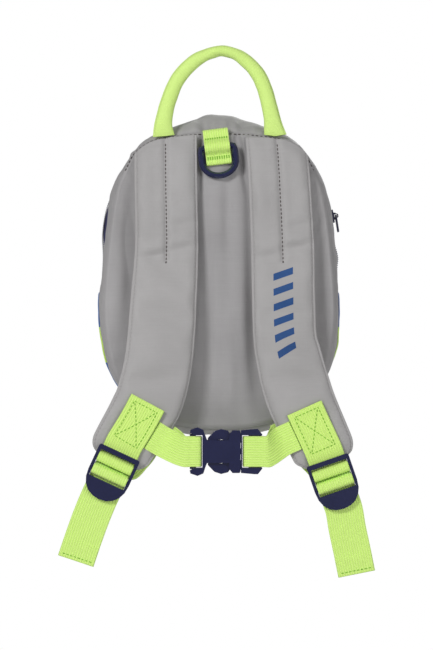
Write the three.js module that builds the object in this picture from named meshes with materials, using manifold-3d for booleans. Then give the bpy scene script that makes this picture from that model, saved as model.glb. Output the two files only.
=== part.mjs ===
// A toddler's backpack, hanging by its grab handle.
// Millimetres. +X is to the right of someone who looks at the side that the child wears, +Z is up,
// the worn side faces -Y and the zipped front faces +Y.
// Origin: where a hook bears, under the top of the handle's arch.

import * as THREE from 'three';
import { mergeVertices } from 'three/addons/utils/BufferGeometryUtils.js';
import Module from 'manifold-3d';

const wasm = await Module();
wasm.setup();

// Driving sizes of the bag
const PANEL_WIDTH = 193;
const PANEL_HEIGHT = 246;
const PANEL_BULGE = 6;
const BAG_DEPTH = 98;
const TOP_PUFF = 16; // how far the gusset puffs up above the back panel's top seam
const BOTTOM_PUFF = 7;
const SIDE_PUFF = 5;
const PANEL_WALL = 3;
const CLOTH = 2;
const GAP = 0.3;

// Driving sizes of the handle and of the ring in front of it
const HANDLE_RISE = 63.4; // from the top seam to the underside of the arch
const HANDLE_SPAN = 92.4; // between the middles of its sewn ends
const HANDLE_WIDTH = 13;
const HANDLE_DEPTH = 9.5;
const TAB_WIDTH = 21;
const TAB_LENGTH = 26.4;
const TAB_DROP = 12; // from the top seam to the ring's bar
const TAB_ROLL = 7; // degrees
const TAB_ASIDE = -1.9;
const RING_WIDTH = 33.4;
const RING_DROP = 26.5; // from the bar's middle to the ring's lowest point
const RING_WIRE = 5;
const RING_LEG = 12;
const RING_CORNER = 3;

// Driving sizes of the straps
const STRAP_WIDTH = 52;
const STRAP_THICK = 8.5;
const STRAP_DROP = 270;
const STRAP_BOW = 21; // how far the lower ends stand off the back panel
const STRAP_ROUND = 13; // corners of the lower ends
const STRAP_INSET = 2; // from the back seam to the straps' sewn ends
const RING_CLEAR = 2; // between half the ring's width and a strap's inner edge
const SEAM_FOLLOW = 45; // length over which a strap's top end is cut to the seam's curve
const WEB_WIDTH = 30;
const WEB_THICK = 1.6;
const CHEST_WIDTH = 25;
const CHEST_SLACK = 3; // how much higher on the strap the chest webbing's back layer starts
const TAIL_LENGTH = 96;
const HEM_LENGTH = 14;
const SEWN_LENGTH = 46.5; // strap webbing above the lock's top bar

// Driving sizes of the plastic fittings
const LOCK_WIDTH = 36;
const LOCK_THICK = 4;
const LOCK_TOP_BAR = 4;
const LOCK_BAR = 3.5;
const LOCK_BAR_THICK = 3;
const LOCK_SLOT = 4.5;
const LOCK_MIDDLE_SLOT = 7;
const LOCK_SIDE = 2.6;
const LOCK_TAB = 15;
const BUCKLE_LENGTH = 60;
const BUCKLE_WIDTH = 39.5;
const BUCKLE_THICK = 10;
const BUCKLE_BAR_THICK = 4;
const BUCKLE_CAVITY = 4.6;
const BUCKLE_SLOT = 5.2;
const BUCKLE_RISE = 3.8; // above the middle between the two locks' top bars
const BUCKLE_ASIDE = 1.5;

// Driving sizes of the zip and of the check band
const ZIP_WIDTH = 6.4;
const ZIP_TAPE = 14;
const ZIP_TAPE_THICK = 1;
const ZIP_COIL = 3.4;
const SLIDER_LENGTH = 11;
const SLIDER_WIDTH = 8;
const PULLER_LENGTH = 14;
const PULLER_WIDTH = 6.4;
const PULLER_THICK = 1.6;
const PULLER_PLAY = 0.7;
const SLIDER_PLATE = 1.8;
const SLIDER_BRIDGE = 2;
const SLIDER_WALL = 1.4; // round the eye that the puller turns in
const EYE_OUT = 3.9; // from the coil to the middle of that eye
const BAND_HEIGHT = 90;
const BAND_RISE = 32; // from the bag's lowest point to the band's lower edge
const BAND_THICK = 1;

// Back seam: up is a share of the panel's height, out a share of its half width.
const PANEL_OUTLINE = [
  { up: 0.998, out: 0.22 },
  { up: 0.978, out: 0.57 },
  { up: 0.958, out: 0.665 },
  { up: 0.93, out: 0.745 },
  { up: 0.88, out: 0.81 },
  { up: 0.827, out: 0.87 },
  { up: 0.745, out: 0.915 },
  { up: 0.64, out: 0.955 },
  { up: 0.42, out: 1 },
  { up: 0.31, out: 0.983 },
  { up: 0.205, out: 0.922 },
  { up: 0.134, out: 0.83 },
  { up: 0.075, out: 0.69 },
  { up: 0.03, out: 0.5 },
  { up: 0.007, out: 0.26 },
];

// The fullest outline: shares of the bag's height and half width.
const BAG_OUTLINE = [
  { up: 0.987, out: 0.24 },
  { up: 0.966, out: 0.39 },
  { up: 0.944, out: 0.533 },
  { up: 0.913, out: 0.655 },
  { up: 0.863, out: 0.765 },
  { up: 0.813, out: 0.842 },
  { up: 0.751, out: 0.9 },
  { up: 0.64, out: 0.95 },
  { up: 0.49, out: 0.985 },
  { up: 0.385, out: 1 },
  { up: 0.308, out: 0.983 },
  { up: 0.24, out: 0.95 },
  { up: 0.19, out: 0.896 },
  { up: 0.14, out: 0.817 },
  { up: 0.084, out: 0.7 },
  { up: 0.034, out: 0.517 },
  { up: 0.008, out: 0.29 },
];

// Sections from the back seam to the front: deep is a share of the depth, full goes from the back
// seam's outline (0) to the fullest one (1), wide and tall are shares of that outline.
const BAG_SECTIONS = [
  { deep: 0, full: 0, wide: 1, tall: 1 },
  { deep: 0.04, full: 0.36, wide: 1, tall: 1 },
  { deep: 0.1, full: 0.68, wide: 1, tall: 1 },
  { deep: 0.19, full: 0.9, wide: 1, tall: 1 },
  { deep: 0.29, full: 0.99, wide: 1, tall: 1 },
  { deep: 0.4, full: 1, wide: 1, tall: 1 },
  { deep: 0.52, full: 1, wide: 0.995, tall: 0.995 },
  { deep: 0.66, full: 1, wide: 0.965, tall: 0.97 },
  { deep: 0.79, full: 1, wide: 0.905, tall: 0.915 },
  { deep: 0.9, full: 1, wide: 0.79, tall: 0.81 },
  { deep: 0.965, full: 1, wide: 0.62, tall: 0.65 },
  { deep: 0.993, full: 1, wide: 0.36, tall: 0.39 },
  { deep: 1, full: 1, wide: 0.1, tall: 0.12 },
];

// Folds and gathers of the gusset and shell: round is a share of the outline from its top, to the
// right; deep, spread and reach say where along the depth and how far the fold runs; sink is in
// shares of the top puff and is less than zero where the cloth stands out.
const BAG_FOLDS = [
  { round: -0.0165, deep: 0.07, spread: 0.006, reach: 0.1, sink: 0.36 },
  { round: -0.0115, deep: 0.3, spread: 0.009, reach: 0.2, sink: -0.12 },
  { round: 0.026, deep: 0.1, spread: 0.008, reach: 0.13, sink: 0.2 },
  { round: 0.01, deep: 0.2, spread: 0.014, reach: 0.16, sink: -0.1 },
  { round: -0.193, deep: 0.3, spread: 0.012, reach: 0.08, sink: 0.26 },
  { round: -0.318, deep: 0.36, spread: 0.022, reach: 0.06, sink: 0.3 },
  { round: 0.3, deep: 0.2, spread: 0.03, reach: 0.12, sink: 0.1 },
  { round: 0.66, deep: 0.25, spread: 0.03, reach: 0.15, sink: 0.12 },
  { round: 0.5, deep: 0.3, spread: 0.035, reach: 0.2, sink: 0.14 },
  { round: 0.42, deep: 0.7, spread: 0.03, reach: 0.15, sink: 0.12 },
  { round: 0.57, deep: 0.72, spread: 0.03, reach: 0.15, sink: 0.12 },
];

// Soft upright folds of the back panel: across in shares of the half width, up in shares of the
// height, and sink in shares of the bulge.
const PANEL_FOLDS = [
  { across: -0.13, up: 0.3, spread: 0.06, reach: 0.3, sink: 0.45 },
  { across: 0.3, up: 0.26, spread: 0.08, reach: 0.26, sink: 0.55 },
  { across: 0.06, up: 0.74, spread: 0.05, reach: 0.2, sink: 0.3 },
  { across: 0.1, up: 0.12, spread: 0.05, reach: 0.1, sink: -0.3 },
];

// Shoulder straps: down is a share of the strap's drop, aside of the way from the strap's place beside
// the ring to the panel's edge, bow of the strap's bow, wide of its width, thick and groove of its
// thickness.
const STRAP_ROUTE = {
  left: [
    { down: 0.0, aside: 0.0, bow: 0.0, wide: 1.0, thick: 0.55, groove: 0.05 },
    { down: 0.163, aside: -0.009, bow: 0.0, wide: 0.996, thick: 0.95, groove: 0.16 },
    { down: 0.34, aside: -0.022, bow: 0.08, wide: 1.0, thick: 1.0, groove: 0.16 },
    { down: 0.485, aside: 0.017, bow: 0.2, wide: 1.04, thick: 1.0, groove: 0.0 },
    { down: 0.675, aside: 0.092, bow: 0.45, wide: 1.07, thick: 1.0, groove: 0.0 },
    { down: 0.793, aside: 0.22, bow: 0.66, wide: 1.08, thick: 0.98, groove: 0.0 },
    { down: 0.856, aside: 0.372, bow: 0.78, wide: 1.05, thick: 0.92, groove: 0.0 },
    { down: 0.948, aside: 0.65, bow: 0.94, wide: 1.0, thick: 0.82, groove: 0.0 },
    { down: 0.999, aside: 0.777, bow: 1.0, wide: 0.98, thick: 0.7, groove: 0.0 },
  ],
  right: [
    { down: 0.0, aside: 0.051, bow: 0.0, wide: 1.0, thick: 0.55, groove: 0.05 },
    { down: 0.139, aside: 0.092, bow: 0.0, wide: 0.98, thick: 0.95, groove: 0.16 },
    { down: 0.337, aside: 0.139, bow: 0.08, wide: 1.0, thick: 1.0, groove: 0.16 },
    { down: 0.478, aside: 0.152, bow: 0.2, wide: 1.0, thick: 1.0, groove: 0.0 },
    { down: 0.612, aside: 0.172, bow: 0.38, wide: 1.0, thick: 1.0, groove: 0.0 },
    { down: 0.68, aside: 0.234, bow: 0.48, wide: 1.04, thick: 1.0, groove: 0.0 },
    { down: 0.773, aside: 0.358, bow: 0.64, wide: 1.07, thick: 0.98, groove: 0.0 },
    { down: 0.839, aside: 0.484, bow: 0.76, wide: 1.05, thick: 0.92, groove: 0.0 },
    { down: 0.955, aside: 0.759, bow: 0.94, wide: 1.0, thick: 0.82, groove: 0.0 },
    { down: 1.003, aside: 0.85, bow: 1.0, wide: 0.97, thick: 0.7, groove: 0.0 },
  ],
};

// What differs between the two sides: inner points from the strap towards the middle of the bag,
// lockDrop is how far the lock's top bar lies below the strap's end, chestAbove how far above it
// the chest webbing is sewn on, slant how far aside of the lock the lower webbing comes up, as shares
// of its width from above the lock to behind its bars, and the tail's rows are shares of its length.
const SIDES = {
  left: {
    inner: 1,
    lockDrop: -9.2,
    slant: [0.42, 0.34, 0.22],
    chestAbove: 34,
    tail: [{ down: 0.62, across: 0.008 }, { down: 0.84, across: 0.028 }, { down: 1, across: 0.046 }],
  },
  right: {
    inner: -1,
    lockDrop: -3.2,
    slant: [0.3, 0.15, 0.03],
    chestAbove: 32,
    tail: [{ down: 0.6, across: -0.025 }, { down: 0.8, across: -0.05 }, { down: 1, across: -0.077 }],
  },
};
const ANCHOR_OUT = 0.57; // where the lower webbing is sewn in, as a share of the panel's half width

// Handle: across is a share of the half span, up of the rise, wide and thick of the handle's width
// and depth, and fore of its depth towards the wearer.
const HANDLE_ROUTE = [
  { across: -1.0, up: 0.0, wide: 1.42, thick: 0.4, fore: 0.24 },
  { across: -1.007, up: 0.17, wide: 1.12, thick: 0.8, fore: 0.2 },
  { across: -0.944, up: 0.38, wide: 1.0, thick: 1.0, fore: 0.1 },
  { across: -0.853, up: 0.57, wide: 0.97, thick: 1.0, fore: 0.0 },
  { across: -0.719, up: 0.75, wide: 0.94, thick: 1.0, fore: 0.0 },
  { across: -0.468, up: 0.93, wide: 0.88, thick: 1.0, fore: 0.0 },
  { across: -0.22, up: 1.03, wide: 0.78, thick: 1.05, fore: 0.0 },
  { across: 0.005, up: 1.07, wide: 0.7, thick: 1.1, fore: 0.0 },
  { across: 0.21, up: 1.05, wide: 0.74, thick: 1.05, fore: 0.0 },
  { across: 0.405, up: 0.985, wide: 0.83, thick: 1.0, fore: 0.0 },
  { across: 0.656, up: 0.815, wide: 0.93, thick: 1.0, fore: 0.0 },
  { across: 0.8, up: 0.62, wide: 0.97, thick: 1.0, fore: 0.0 },
  { across: 0.9, up: 0.37, wide: 1.0, thick: 1.0, fore: 0.1 },
  { across: 0.955, up: 0.17, wide: 1.12, thick: 0.8, fore: 0.2 },
  { across: 1.0, up: 0.0, wide: 1.45, thick: 0.4, fore: 0.24 },
];

// How finely the cloth is faceted
const COLUMNS = 56;
const COLUMN_SPREAD = 0.5; // 0 spaces the columns evenly, up to 1 gathers them at the top

// Places that follow from the sizes above
const SEAM_TOP = -HANDLE_RISE;
const PANEL_BOTTOM = SEAM_TOP - PANEL_HEIGHT;
const PANEL_MIDDLE = SEAM_TOP - PANEL_HEIGHT / 2;
const BAG_WIDTH = PANEL_WIDTH + 2 * SIDE_PUFF;
const BAG_TOP = SEAM_TOP + TOP_PUFF;
const BAG_BOTTOM = PANEL_BOTTOM - BOTTOM_PUFF;
const BAG_MIDDLE = (BAG_TOP + BAG_BOTTOM) / 2;
const STRAP_PLACE = RING_WIDTH / 2 + RING_CLEAR + STRAP_WIDTH / 2; // from the bag's middle
const ZIP_MIDDLE = 0.4; // share of the depth
const ZIP_HALF = ZIP_WIDTH / 2 / BAG_DEPTH;
const FRONT_SEAM = 0.82;
const ZIP_FROM = -0.295; // the zip's ends, as shares of the outline from its top
const ZIP_TO = 0.285;
const SLIDER_ROUND = 0.18;

const COLOURS = {
  grey: 0xa19e9e,
  strapGrey: 0xaaa7a7,
  lime: 0xb4f24e,
  navy: 0x1c2150,
  blue: 0x35639f,
};

const vec = (x, y, z) => new THREE.Vector3(x, y, z);
const mix = (a, b, share) => a + (b - a) * share;
const bell = (distance, width) => Math.exp(-((distance / width) ** 2));
const radians = THREE.MathUtils.degToRad;

function fabric(colour) {
  return new THREE.MeshStandardMaterial({ color: colour, roughness: 0.9, metalness: 0 });
}

function plastic(colour) {
  return new THREE.MeshStandardMaterial({ color: colour, roughness: 0.35, metalness: 0 });
}

function named(name, geometry, material) {
  const mesh = new THREE.Mesh(geometry, material);
  mesh.name = name;
  return mesh;
}

// A value between the rows of a table, smooth through its rows; at runs from 0 to the last row.
function between(rows, column, at) {
  const last = rows.length - 1;
  const low = Math.min(Math.floor(at), last - 1);
  const value = (row) => rows[THREE.MathUtils.clamp(row, 0, last)][column];
  const share = at - low;
  const before = low > 0 ? value(low - 1) : 2 * value(low) - value(low + 1);
  const after = low + 2 <= last ? value(low + 2) : 2 * value(low + 1) - value(low);
  const slopeIn = (value(low + 1) - before) / 2;
  const slopeOut = (after - value(low)) / 2;
  const square = share * share;
  const cube = square * share;
  return (2 * cube - 3 * square + 1) * value(low) + (cube - 2 * square + share) * slopeIn
    + (3 * square - 2 * cube) * value(low + 1) + (cube - square) * slopeOut;
}

// A closed body through rings of points. Each ring is flattened by a ladder across it at the ends,
// or the last ring joins the first.
function loft(rings, closed = false) {
  const count = rings[0].length;
  const positions = rings.flat().flatMap((point) => [point.x, point.y, point.z]);
  const faces = [];
  const quad = (a, b, c, d) => faces.push(a, b, c, a, c, d);
  for (let ring = 0; ring < rings.length - (closed ? 0 : 1); ring += 1) {
    const next = ((ring + 1) % rings.length) * count;
    for (let step = 0; step < count; step += 1) {
      const beside = (step + 1) % count;
      quad(ring * count + step, ring * count + beside, next + beside, next + step);
    }
  }
  if (!closed) {
    const last = (rings.length - 1) * count;
    for (let low = 0; low < count / 2 - 1; low += 1) {
      const high = count - 1 - low;
      const corners = [low, high, high - 1, low + 1];
      if (high - 1 === low + 1) {
        faces.push(corners[0], corners[1], corners[2]);
        faces.push(last + corners[2], last + corners[1], last + corners[0]);
      } else {
        quad(...corners);
        quad(...corners.map((corner) => last + corner).reverse());
      }
    }
  }
  if (signedVolume(positions, faces) < 0) faces.reverse();
  const geometry = new THREE.BufferGeometry();
  geometry.setAttribute('position', new THREE.Float32BufferAttribute(positions, 3));
  geometry.setIndex(faces);
  geometry.computeVertexNormals();
  return geometry;
}

function signedVolume(positions, faces) {
  const corner = (index) => vec(...positions.slice(3 * index, 3 * index + 3));
  let volume = 0;
  for (let face = 0; face < faces.length; face += 3) {
    const [a, b, c] = [corner(faces[face]), corner(faces[face + 1]), corner(faces[face + 2])];
    volume += a.dot(b.cross(c)) / 6;
  }
  return volume;
}

// Joins and cuts of closed pieces
function solid(geometry) {
  const bare = geometry.clone();
  for (const name of ['normal', 'uv']) bare.deleteAttribute(name);
  const merged = mergeVertices(bare, 1e-4);
  return new wasm.Manifold(new wasm.Mesh({
    numProp: 3,
    vertProperties: new Float32Array(merged.attributes.position.array),
    triVerts: new Uint32Array(merged.index.array),
  }));
}

function surface(manifold) {
  const mesh = manifold.getMesh();
  const geometry = new THREE.BufferGeometry();
  geometry.setAttribute('position', new THREE.BufferAttribute(mesh.vertProperties, 3));
  geometry.setIndex(new THREE.BufferAttribute(mesh.triVerts, 1));
  geometry.computeVertexNormals();
  return geometry;
}

// A flat piece whose outline lies in XZ, as thick as told along Y, about the plane y = middle
function plate(outline, thick, middle = 0, curveSegments = 5) {
  const geometry = new THREE.ExtrudeGeometry(outline, { depth: thick, bevelEnabled: false, curveSegments });
  return geometry.rotateX(Math.PI / 2).translate(0, middle + thick / 2, 0);
}

function polygon(points) {
  return new THREE.Shape(points.map(([x, z]) => new THREE.Vector2(x, z)));
}

function rectangle(left, right, low, high) {
  return polygon([[left, low], [right, low], [right, high], [left, high]]);
}

// A point given in a frame of its own: across, down and out towards the viewer
function place(frame, across, down, out) {
  return frame.at.clone().addScaledVector(frame.across, across)
    .addScaledVector(frame.down, down).addScaledVector(frame.out, out);
}

// The bag's outlines, as points at the same columns. Column 0 is the middle of the top, and they run
// to the right.
function outlinePoints(table, halfWidth, low, high) {
  const right = table.map((row) => vec(row.out * halfWidth, 0, mix(low, high, row.up)));
  const left = right.map((point) => vec(-point.x, 0, point.z)).reverse();
  const points = [vec(0, 0, high), ...right, vec(0, 0, low), ...left];
  const curve = new THREE.CatmullRomCurve3(points, true, 'centripetal');
  curve.arcLengthDivisions = 600;
  return Array.from({ length: COLUMNS }, (_, column) => curve.getPointAt(roundOf(column)));
}

// The share of the outline at a column: closer together near the top, where the cloth is gathered
function roundOf(column) {
  const even = column / COLUMNS;
  return even - (COLUMN_SPREAD * Math.sin(2 * Math.PI * even)) / (2 * Math.PI);
}

const SEAM = outlinePoints(PANEL_OUTLINE, PANEL_WIDTH / 2, PANEL_BOTTOM, SEAM_TOP);
const FULLEST = outlinePoints(BAG_OUTLINE, BAG_WIDTH / 2, BAG_BOTTOM, BAG_TOP);

// How far round two shares of the outline lie apart, the short way
function apart(first, second) {
  const away = Math.abs(first - second) % 1;
  return Math.min(away, 1 - away);
}

// A point of the bag's outer surface at a column and a share of the depth
function bagPoint(column, deep) {
  const last = BAG_SECTIONS.length - 1;
  let row = 0;
  while (row < last - 1 && BAG_SECTIONS[row + 1].deep < deep) row += 1;
  const [from, to] = [BAG_SECTIONS[row].deep, BAG_SECTIONS[row + 1].deep];
  const at = row + (deep - from) / (to - from);
  const full = between(BAG_SECTIONS, 'full', at);
  const [seam, fullest] = [SEAM[column], FULLEST[column]];
  const x = mix(seam.x, fullest.x, full) * between(BAG_SECTIONS, 'wide', at);
  const z = mix(seam.z, fullest.z, full) - BAG_MIDDLE;
  const point = vec(x, deep * BAG_DEPTH, BAG_MIDDLE + z * between(BAG_SECTIONS, 'tall', at));
  const outward = vec(point.x, 0, point.z - BAG_MIDDLE).normalize();
  const round = (roundOf(column) + 1) % 1;
  const ease = Math.min(1, deep / 0.05);
  for (const fold of BAG_FOLDS) {
    const nearby = bell(apart(round, (fold.round + 1) % 1), fold.spread) * bell(deep - fold.deep, fold.reach);
    point.addScaledVector(outward, -fold.sink * TOP_PUFF * nearby * ease);
  }
  return point;
}

// The outward normal of that surface
function bagNormal(column, deep) {
  const step = 0.012;
  const [before, after] = [(column + COLUMNS - 1) % COLUMNS, (column + 1) % COLUMNS];
  const round = bagPoint(after, deep).sub(bagPoint(before, deep));
  const along = bagPoint(column, Math.min(1, deep + step)).sub(bagPoint(column, Math.max(0, deep - step)));
  return round.cross(along).normalize();
}

// A ring of points all round the bag, sunk below its outer surface
function bagRing(deep, sunk) {
  return Array.from({ length: COLUMNS }, (_, column) => (
    bagPoint(column, deep).addScaledVector(bagNormal(column, deep), -sunk)));
}

// The zip's slot closes to a plain seam below the zip's ends.
function slotHalf(column) {
  const round = ((roundOf(column) + 0.5) % 1) - 0.5;
  const inside = Math.min(round - ZIP_FROM, ZIP_TO - round);
  const open = THREE.MathUtils.smoothstep(inside, -0.03, 0.01);
  return mix(GAP / 2 / BAG_DEPTH, ZIP_HALF, open);
}

function slotRing(side, sunk) {
  return Array.from({ length: COLUMNS }, (_, column) => {
    const deep = ZIP_MIDDLE + side * slotHalf(column);
    return bagPoint(column, deep).addScaledVector(bagNormal(column, deep), -sunk);
  });
}

// The strip of cloth from the back seam to the zip
function rearGusset() {
  const rows = [GAP / BAG_DEPTH, 0.05, 0.12, 0.21, 0.3];
  const outer = [...rows.map((deep) => bagRing(deep, 0)), slotRing(-1, 0)];
  const inner = [...rows.map((deep) => bagRing(deep, CLOTH)), slotRing(-1, CLOTH)];
  for (const point of inner[0]) point.y = GAP;
  return loft([...outer, ...inner.reverse()], true);
}

// The strip of cloth from the zip to the front's seam
function frontGusset() {
  const outer = [slotRing(1, 0), ...[0.5, 0.6, 0.71, FRONT_SEAM].map((deep) => bagRing(deep, 0))];
  const inner = [slotRing(1, CLOTH), ...[0.5, 0.66, FRONT_SEAM].map((deep) => bagRing(deep, CLOTH))];
  for (const point of inner.at(-1)) point.y = FRONT_SEAM * BAG_DEPTH;
  return loft([...outer, ...inner.reverse()], true);
}

// The rounded front
function frontPanel() {
  const rows = [FRONT_SEAM + GAP / BAG_DEPTH, 0.91, 0.965, 0.99, 1];
  const outer = rows.map((deep) => bagRing(deep, 0));
  const inner = rows.map((deep) => bagRing(deep, CLOTH));
  for (const point of inner[0]) point.y = FRONT_SEAM * BAG_DEPTH + GAP;
  for (const point of inner.at(-1)) point.y = BAG_DEPTH - CLOTH;
  return loft([...outer.reverse(), ...inner]);
}

// The back panel's outer face; at the seam it lies one wall behind the seam's plane.
function panelFace(x, z) {
  const share = panelShare(x, z);
  let rise = PANEL_BULGE * (1 - share ** 2.5);
  for (const fold of PANEL_FOLDS) {
    const across = x / (PANEL_WIDTH / 2) - fold.across;
    const up = (z - PANEL_BOTTOM) / PANEL_HEIGHT - fold.up;
    rise -= fold.sink * PANEL_BULGE * bell(across, fold.spread) * bell(up, fold.reach) * (1 - share ** 4);
  }
  return -PANEL_WALL - rise;
}

// How far out a place on the panel lies, from 0 in the middle to 1 at the seam
function panelShare(x, z) {
  const angle = Math.atan2(x, z - PANEL_MIDDLE);
  const turns = (angle / (2 * Math.PI) + 1) % 1;
  let best = 0;
  for (let column = 0; column < COLUMNS; column += 1) {
    const away = apart(turnsOf(column), turns);
    if (away < apart(turnsOf(best), turns)) best = column;
  }
  const seam = SEAM[best];
  return Math.min(1, Math.hypot(x, z - PANEL_MIDDLE) / Math.hypot(seam.x, seam.z - PANEL_MIDDLE));
}

function turnsOf(column) {
  const seam = SEAM[column];
  return (Math.atan2(seam.x, seam.z - PANEL_MIDDLE) / (2 * Math.PI) + 1) % 1;
}

function backPanel() {
  const rings = [0.09, 0.3, 0.52, 0.74, 0.9, 0.985];
  const ringAt = (share, depth) => SEAM.map((seam) => {
    const x = seam.x * share;
    const z = PANEL_MIDDLE + (seam.z - PANEL_MIDDLE) * share;
    return vec(x, depth(x, z), z);
  });
  const flat = -PANEL_WALL - PANEL_BULGE;
  const outer = rings.map((share, row) => ringAt(share, row ? panelFace : () => flat));
  const inner = rings.map((share, row) => (
    ringAt(share, (x, z) => (row ? panelFace(x, z) : flat) + PANEL_WALL)));
  const rim = [ringAt(1, () => -PANEL_WALL / 2), ringAt(1, () => 0)];
  return loft([...outer, ...rim, ...inner.reverse()]);
}

// The zip: two tapes under the cloth's edges with the coil standing up between them
function zipColumns() {
  const columns = [];
  for (let step = -COLUMNS / 2; step < COLUMNS / 2; step += 1) {
    const column = (step + COLUMNS) % COLUMNS;
    const round = ((roundOf(column) + 0.5) % 1) - 0.5;
    if (round >= ZIP_FROM && round <= ZIP_TO) columns.push(column);
  }
  return columns;
}

function zipChain() {
  const tapeTop = CLOTH + 2 * GAP;
  const [tape, coil] = [ZIP_TAPE / 2, ZIP_COIL / 2];
  const tapeFoot = tapeTop + ZIP_TAPE_THICK;
  const section = [
    [-tape, tapeTop], [-coil, tapeTop], [coil, tapeTop], [tape, tapeTop],
    [tape, tapeFoot], [coil, tapeFoot], [-coil, tapeFoot], [-tape, tapeFoot],
  ];
  const web = loft(zipColumns().map((column) => section.map(([side, sunk]) => {
    const deep = ZIP_MIDDLE + side / BAG_DEPTH;
    return bagPoint(column, deep).addScaledVector(bagNormal(column, deep), -sunk);
  })));
  const ridge = loft(zipColumns().map((column) => {
    const normal = bagNormal(column, ZIP_MIDDLE);
    const along = vec(0, 1, 0).addScaledVector(normal, -normal.y).normalize();
    const middle = bagPoint(column, ZIP_MIDDLE);
    const foot = tapeTop + ZIP_TAPE_THICK / 2;
    return [[-coil, foot], [-coil, GAP], [coil, GAP], [coil, foot]].map(([side, sunk]) => (
      middle.clone().addScaledVector(along, side).addScaledVector(normal, -sunk)));
  }));
  return surface(solid(web).add(solid(ridge)));
}

// The slider's own frame: X out of the bag, Y across the zip, Z up along it
function sliderFrame() {
  let column = 0;
  while (roundOf(column + 1) < SLIDER_ROUND) column += 1;
  const share = (SLIDER_ROUND - roundOf(column)) / (roundOf(column + 1) - roundOf(column));
  const [above, below] = [bagPoint(column, ZIP_MIDDLE), bagPoint(column + 1, ZIP_MIDDLE)];
  const at = above.clone().lerp(below, share);
  const out = bagNormal(column, ZIP_MIDDLE).lerp(bagNormal(column + 1, ZIP_MIDDLE), share);
  const up = above.sub(below).normalize();
  const across = up.clone().cross(out).normalize();
  out.copy(across).cross(up);
  return { at, matrix: new THREE.Matrix4().makeBasis(out, across, up) };
}

const EYE_HALF = (PULLER_THICK / 2) * Math.SQRT2 + GAP / 3; // the puller's square bar turns in it

function zipSlider() {
  const [half, leg] = [SLIDER_LENGTH / 2, EYE_HALF + SLIDER_WALL];
  const [base, top] = [GAP + SLIDER_PLATE / 2, EYE_OUT + EYE_HALF + SLIDER_WALL * 0.7];
  const body = plate(rectangle(GAP, GAP + SLIDER_PLATE, -half, half), SLIDER_WIDTH);
  const arch = polygon([[base, -leg - 1], [EYE_OUT, -leg], [top, -EYE_HALF], [top, EYE_HALF],
    [EYE_OUT, leg], [base, leg + 1]]);
  const eye = rectangle(EYE_OUT - EYE_HALF, EYE_OUT + EYE_HALF, -EYE_HALF, EYE_HALF);
  arch.holes.push(new THREE.Path(eye.getPoints()));
  return surface(solid(body).add(solid(plate(arch, SLIDER_BRIDGE))));
}

// The puller hangs from the eye by the bar at its top; its window clears the slider's bridge.
function zipPuller() {
  const half = PULLER_WIDTH / 2;
  const bar = PULLER_THICK / 2;
  const window = SLIDER_BRIDGE / 2 + PULLER_PLAY;
  const reach = EYE_HALF + SLIDER_WALL + 2 * PULLER_PLAY;
  const outline = new THREE.Shape();
  outline.moveTo(-half, bar);
  outline.lineTo(half, bar);
  outline.lineTo(half * 0.8, -PULLER_LENGTH + 2);
  outline.quadraticCurveTo(half * 0.7, -PULLER_LENGTH, 0, -PULLER_LENGTH);
  outline.quadraticCurveTo(-half * 0.7, -PULLER_LENGTH, -half * 0.8, -PULLER_LENGTH + 2);
  outline.closePath();
  outline.holes.push(new THREE.Path(rectangle(-window, window, -reach, -bar).getPoints()));
  const geometry = plate(outline, PULLER_THICK, 0, 4);
  return geometry.rotateZ(Math.PI / 2);
}

// A band of checked cloth on the front, from one side's zip seam to the other: a second skin just
// outside the front, cut off level at the band's edges
function checkBand() {
  const rows = [0.45, 0.5, 0.6, 0.71, 0.82, 0.91, 0.965, 0.99, 1];
  const outer = rows.map((deep) => bagRing(deep, -GAP - BAND_THICK));
  const inner = rows.map((deep) => bagRing(deep, -GAP));
  for (const point of outer.at(-1)) point.y = BAG_DEPTH + GAP + BAND_THICK;
  for (const point of inner.at(-1)) point.y = BAG_DEPTH + GAP;
  const skin = solid(loft([...outer.reverse(), ...inner]));
  const low = BAG_BOTTOM + BAND_RISE;
  const slab = solid(plate(rectangle(-BAG_WIDTH, BAG_WIDTH, low, low + BAND_HEIGHT), 4 * BAG_DEPTH));
  return surface(skin.intersect(slab));
}

// A padded shoulder strap's frame at a share of its length
function strapFrame(side, share) {
  const rows = STRAP_ROUTE[side];
  const at = share * (rows.length - 1);
  const point = strapPoint(side, at);
  const step = 0.02 * (rows.length - 1);
  const [before, after] = [Math.max(at - step, 0), Math.min(at + step, rows.length - 1)];
  const down = strapPoint(side, after).sub(strapPoint(side, before)).normalize();
  const across = vec(0, 1, 0).cross(down).negate();
  across.normalize();
  if (across.x < 0) across.negate();
  const out = across.clone().cross(down).normalize();
  if (out.y > 0) out.negate();
  return {
    at: point,
    down,
    across,
    out,
    half: (between(rows, 'wide', at) * STRAP_WIDTH) / 2,
    thick: between(rows, 'thick', at) * STRAP_THICK,
    groove: Math.max(0, between(rows, 'groove', at)) * STRAP_THICK,
  };
}

function strapPoint(side, at) {
  const rows = STRAP_ROUTE[side];
  const x = -SIDES[side].inner * mix(STRAP_PLACE, PANEL_WIDTH / 2, between(rows, 'aside', at));
  const z = SEAM_TOP - STRAP_INSET - between(rows, 'down', at) * STRAP_DROP;
  const half = (between(rows, 'wide', at) * STRAP_WIDTH) / 2;
  const thick = between(rows, 'thick', at) * STRAP_THICK;
  const seat = Math.min(...[-0.95, -0.5, 0, 0.5, 0.95].map((share) => panelFace(x + share * half, z)));
  return vec(x, seat - GAP * 2 - thick / 2 - Math.max(0, between(rows, 'bow', at)) * STRAP_BOW, z);
}

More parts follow.
